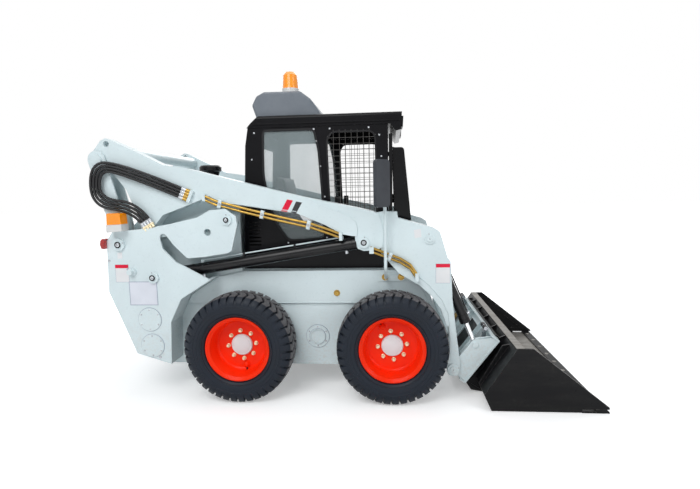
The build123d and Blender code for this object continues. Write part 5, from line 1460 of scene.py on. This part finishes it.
class LOADER_OT_seat(bpy.types.Operator):
    """Makes the seat's cushions with their piping, the belt's buckles and the control levers' boots"""

    bl_idname = "loader.seat"
    bl_label = "Seat and controls"

    def execute(self, context):
        pad = cushion("seat_pad", ((-404, 1012), (-404, 1094), (-838, 1090), (-838, 1012), 230), 30, 150)
        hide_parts("seat_cushion")
        cushion("seat_back", ((-858, 1100), (-768, 1106), (-816, 1580), (-900, 1584), 222), 26, 140)
        boots, belt = Form(), Form()
        folds = [(0, 40)]
        for index in range(7):
            folds += [(6 + index * 11, 38 - index * 4), (11 + index * 11, 33 - index * 4)]
        for side in SIDES:
            boots.turned(spot(-395, side * 343.5, 1199), UP, folds, 28)
            belt.block(spot(-800, side * 244, 1120), (40, 14, 90), -20)
        boots.piece("lever_boots", finish("plastic"), "chassis", "black_plastic")
        belt.piece("belt_buckles", finish("plastic"), "chassis", "black_plastic", 3.0)
        return {"FINISHED"}


MIRROR_TOE = Vector((-1, 1, 0)).normalized()  # towards the mirror's back
MIRROR_EDGE = Vector((1, 1, 0)).normalized()
MIRROR_PANE = ((-35, -126), (35, 126))
COLLAR = ((0, 63), (4, 64.5), (10, 64.5), (12, 60))


class LOADER_OT_mirrors_and_lamps(bpy.types.Operator):
    """Makes the mirrors' glass, clamps and feet, and the roof beacon's collar"""

    bl_idname = "loader.mirrors_and_lamps"
    bl_label = "Mirrors and beacons"

    def execute(self, context):
        panes, clamps, feet, collar = Form(), Form(), Form(), Form()
        centre = on_right(-57, 793, 1500)
        pane = round_rectangle(*MIRROR_PANE, 16, 5)
        panes.skin([[centre + MIRROR_TOE * out + (MIRROR_EDGE * p + UP * q) * MM * share for p, q in pane]
                    for out, share in ((0.0152, 1.0), (0.0164, 0.985))])
        panes.both_sides().piece("mirror_glass", finish("mirror"), "chassis", "chrome_rod")
        for z in (1404, 1456):
            clamps.turned(on_right(-39, 736, z), UP, ((0, 15), (9, 15), (10, 13)), 20)
        clamps.both_sides().piece("mirror_clamps", finish("zinc"), "chassis", "zinc")
        feet.turned(on_right(-39, 566, 846), RIGHT, ((0, 17), (5, 15), (8, 12)), 24)
        feet.both_sides().piece("mirror_feet", finish("body"), "chassis", "body_paint")
        collar.turned(spot(-735, 300, 2214), UP, COLLAR, 40)
        collar.piece("beacon_collar", finish("pale_plastic"), "chassis", "white_plastic")
        return {"FINISHED"}


# ---- bucket and quick-attach ----------------------------------------------------------

WEAR_STRIPS = (
    # half width and side view of the bare strips on the bucket's top edge and along its floor
    (855, ((797, 423.2), (848, 423.2), (848, 424.6), (797, 424.6))),
    (838, ((1095, 14.2), (1300, 14.2), (1300, 15.0), (1095, 15.0))),
)
EDGE_BOLT = ((0, 17), (2, 16), (3.5, 12))
BUCKET_WELDS = (
    # across, then points as forward, height
    (850, ((652, 16), (610, 112), (808, 418))),
    (850, ((652, 16), (1210, 16))),
    (856, ((800, 380), (890, 380), (1330, 30))),
)
ATTACH_FOOT = Vector((505, 99))  # the foot of the quick-attach plate's face in the side view
ATTACH_RUN = (Vector((740, 405)) - ATTACH_FOOT).normalized()
ATTACH_REAR = Vector((-ATTACH_RUN.y, ATTACH_RUN.x))
SPRING_TURNS, SPRING_STEPS = 14, 12
GRIPS = ((442, 468, 492), (508, 532, 558))


def on_attach(along, behind, across):
    """A point given along the quick-attach plate from its foot, behind its face, and across to the right."""
    place = ATTACH_FOOT + ATTACH_RUN * along + ATTACH_REAR * behind
    return on_right(place.x, across, place.y)


class LOADER_OT_bucket_fittings(bpy.types.Operator):
    """Makes the bucket's wear strips, edge bolts and weld beads, and the latches' springs, grips and bolts"""

    bl_idname = "loader.bucket_fittings"
    bl_label = "Bucket fittings"

    def execute(self, context):
        strips = Form()
        for half, corners in WEAR_STRIPS:
            strips.plate(corners, -half, half)
        strips.piece("bucket_wear_strips", finish("steel"), "quick_attach", "bucket_paint")
        bolts = Form()
        for y in range(-760, 761, 190):
            bolts.turned(spot(1330, y, 25), UP, EDGE_BOLT, 20)
        bolts.piece("edge_bolts", finish("steel"), "quick_attach", "bucket_paint")
        beads = Form()
        for side in SIDES:
            for across, points in BUCKET_WELDS:
                beads.beads([spot(x, side * across, z) for x, z in stepped(points, 7)], 4.0)
        beads.piece("bucket_weld_beads", finish("bucket"), "quick_attach", "bucket_paint")
        springs = Form()
        count = SPRING_TURNS * SPRING_STEPS
        for middle in (470, 530):
            coil = []
            for step in range(count):
                turn = 2 * math.pi * step / SPRING_STEPS
                coil.append(on_attach(120 + 110 * step / count, 34 + 11 * math.cos(turn),
                                      middle + 11 * math.sin(turn)))
            springs.tube(coil, 2.3, 6)
        springs.both_sides().piece("latch_springs", finish("gold"), "quick_attach", "zinc")
        grips = Form()
        for side in SIDES:
            for places in GRIPS:
                grips.tube([on_attach(388, 100, side * across) for across in places], 16.5, 16)
        grips.piece("latch_grips", finish("plastic"), "quick_attach", "black_plastic", 2.0)
        plates = Form()
        rear = Vector((ATTACH_REAR.x, 0, ATTACH_REAR.y))
        for across in (-560, 560):
            for along in (60, 330):
                plates.bolt(on_attach(along, 12, across), rear, 19, 10)
        plates.piece("attach_bolts", finish("zinc"), "quick_attach", "zinc")
        return {"FINISHED"}


# ---- panel and running ----------------------------------------------------------------

OPERATORS = (
    LOADER_OT_stage, LOADER_OT_finishes, LOADER_OT_tyres, LOADER_OT_wheel_fittings, LOADER_OT_bolts,
    LOADER_OT_weld_seams, LOADER_OT_labels, LOADER_OT_pipework, LOADER_OT_hoses, LOADER_OT_cylinders,
    LOADER_OT_window_guards, LOADER_OT_cab_fittings, LOADER_OT_seat, LOADER_OT_mirrors_and_lamps,
    LOADER_OT_bucket_fittings,
)
GROUPS = (
    ("loader_colours", LoaderColours), ("loader_tyre", LoaderTyre), ("loader_hose", LoaderHose),
    ("loader_studio", LoaderStudio),
)


class LOADER_PT_panel(bpy.types.Panel):
    """Lists the loader's sizes and the operators that make its pieces"""

    bl_idname = "LOADER_PT_panel"
    bl_label = "Skid steer loader"
    bl_space_type = "VIEW_3D"
    bl_region_type = "UI"
    bl_category = "Loader"

    def draw(self, context):
        for attribute, group in GROUPS:
            box = self.layout.box()
            for key in group.__annotations__:
                box.prop(getattr(context.scene, attribute), key)
        for operator in OPERATORS:
            self.layout.operator(operator.bl_idname)


def register():
    for _, group in GROUPS:
        bpy.utils.register_class(group)
    for attribute, group in GROUPS:
        setattr(bpy.types.Scene, attribute, PointerProperty(type=group))
    for operator in OPERATORS:
        bpy.utils.register_class(operator)
    bpy.utils.register_class(LOADER_PT_panel)


def unregister():
    bpy.utils.unregister_class(LOADER_PT_panel)
    for operator in reversed(OPERATORS):
        bpy.utils.unregister_class(operator)
    for attribute, group in reversed(GROUPS):
        delattr(bpy.types.Scene, attribute)
        bpy.utils.unregister_class(group)


def main():
    register()
    for operator in OPERATORS:
        group, name = operator.bl_idname.split(".")
        getattr(getattr(bpy.ops, group), name)()


if __name__ == "__main__":
    main()
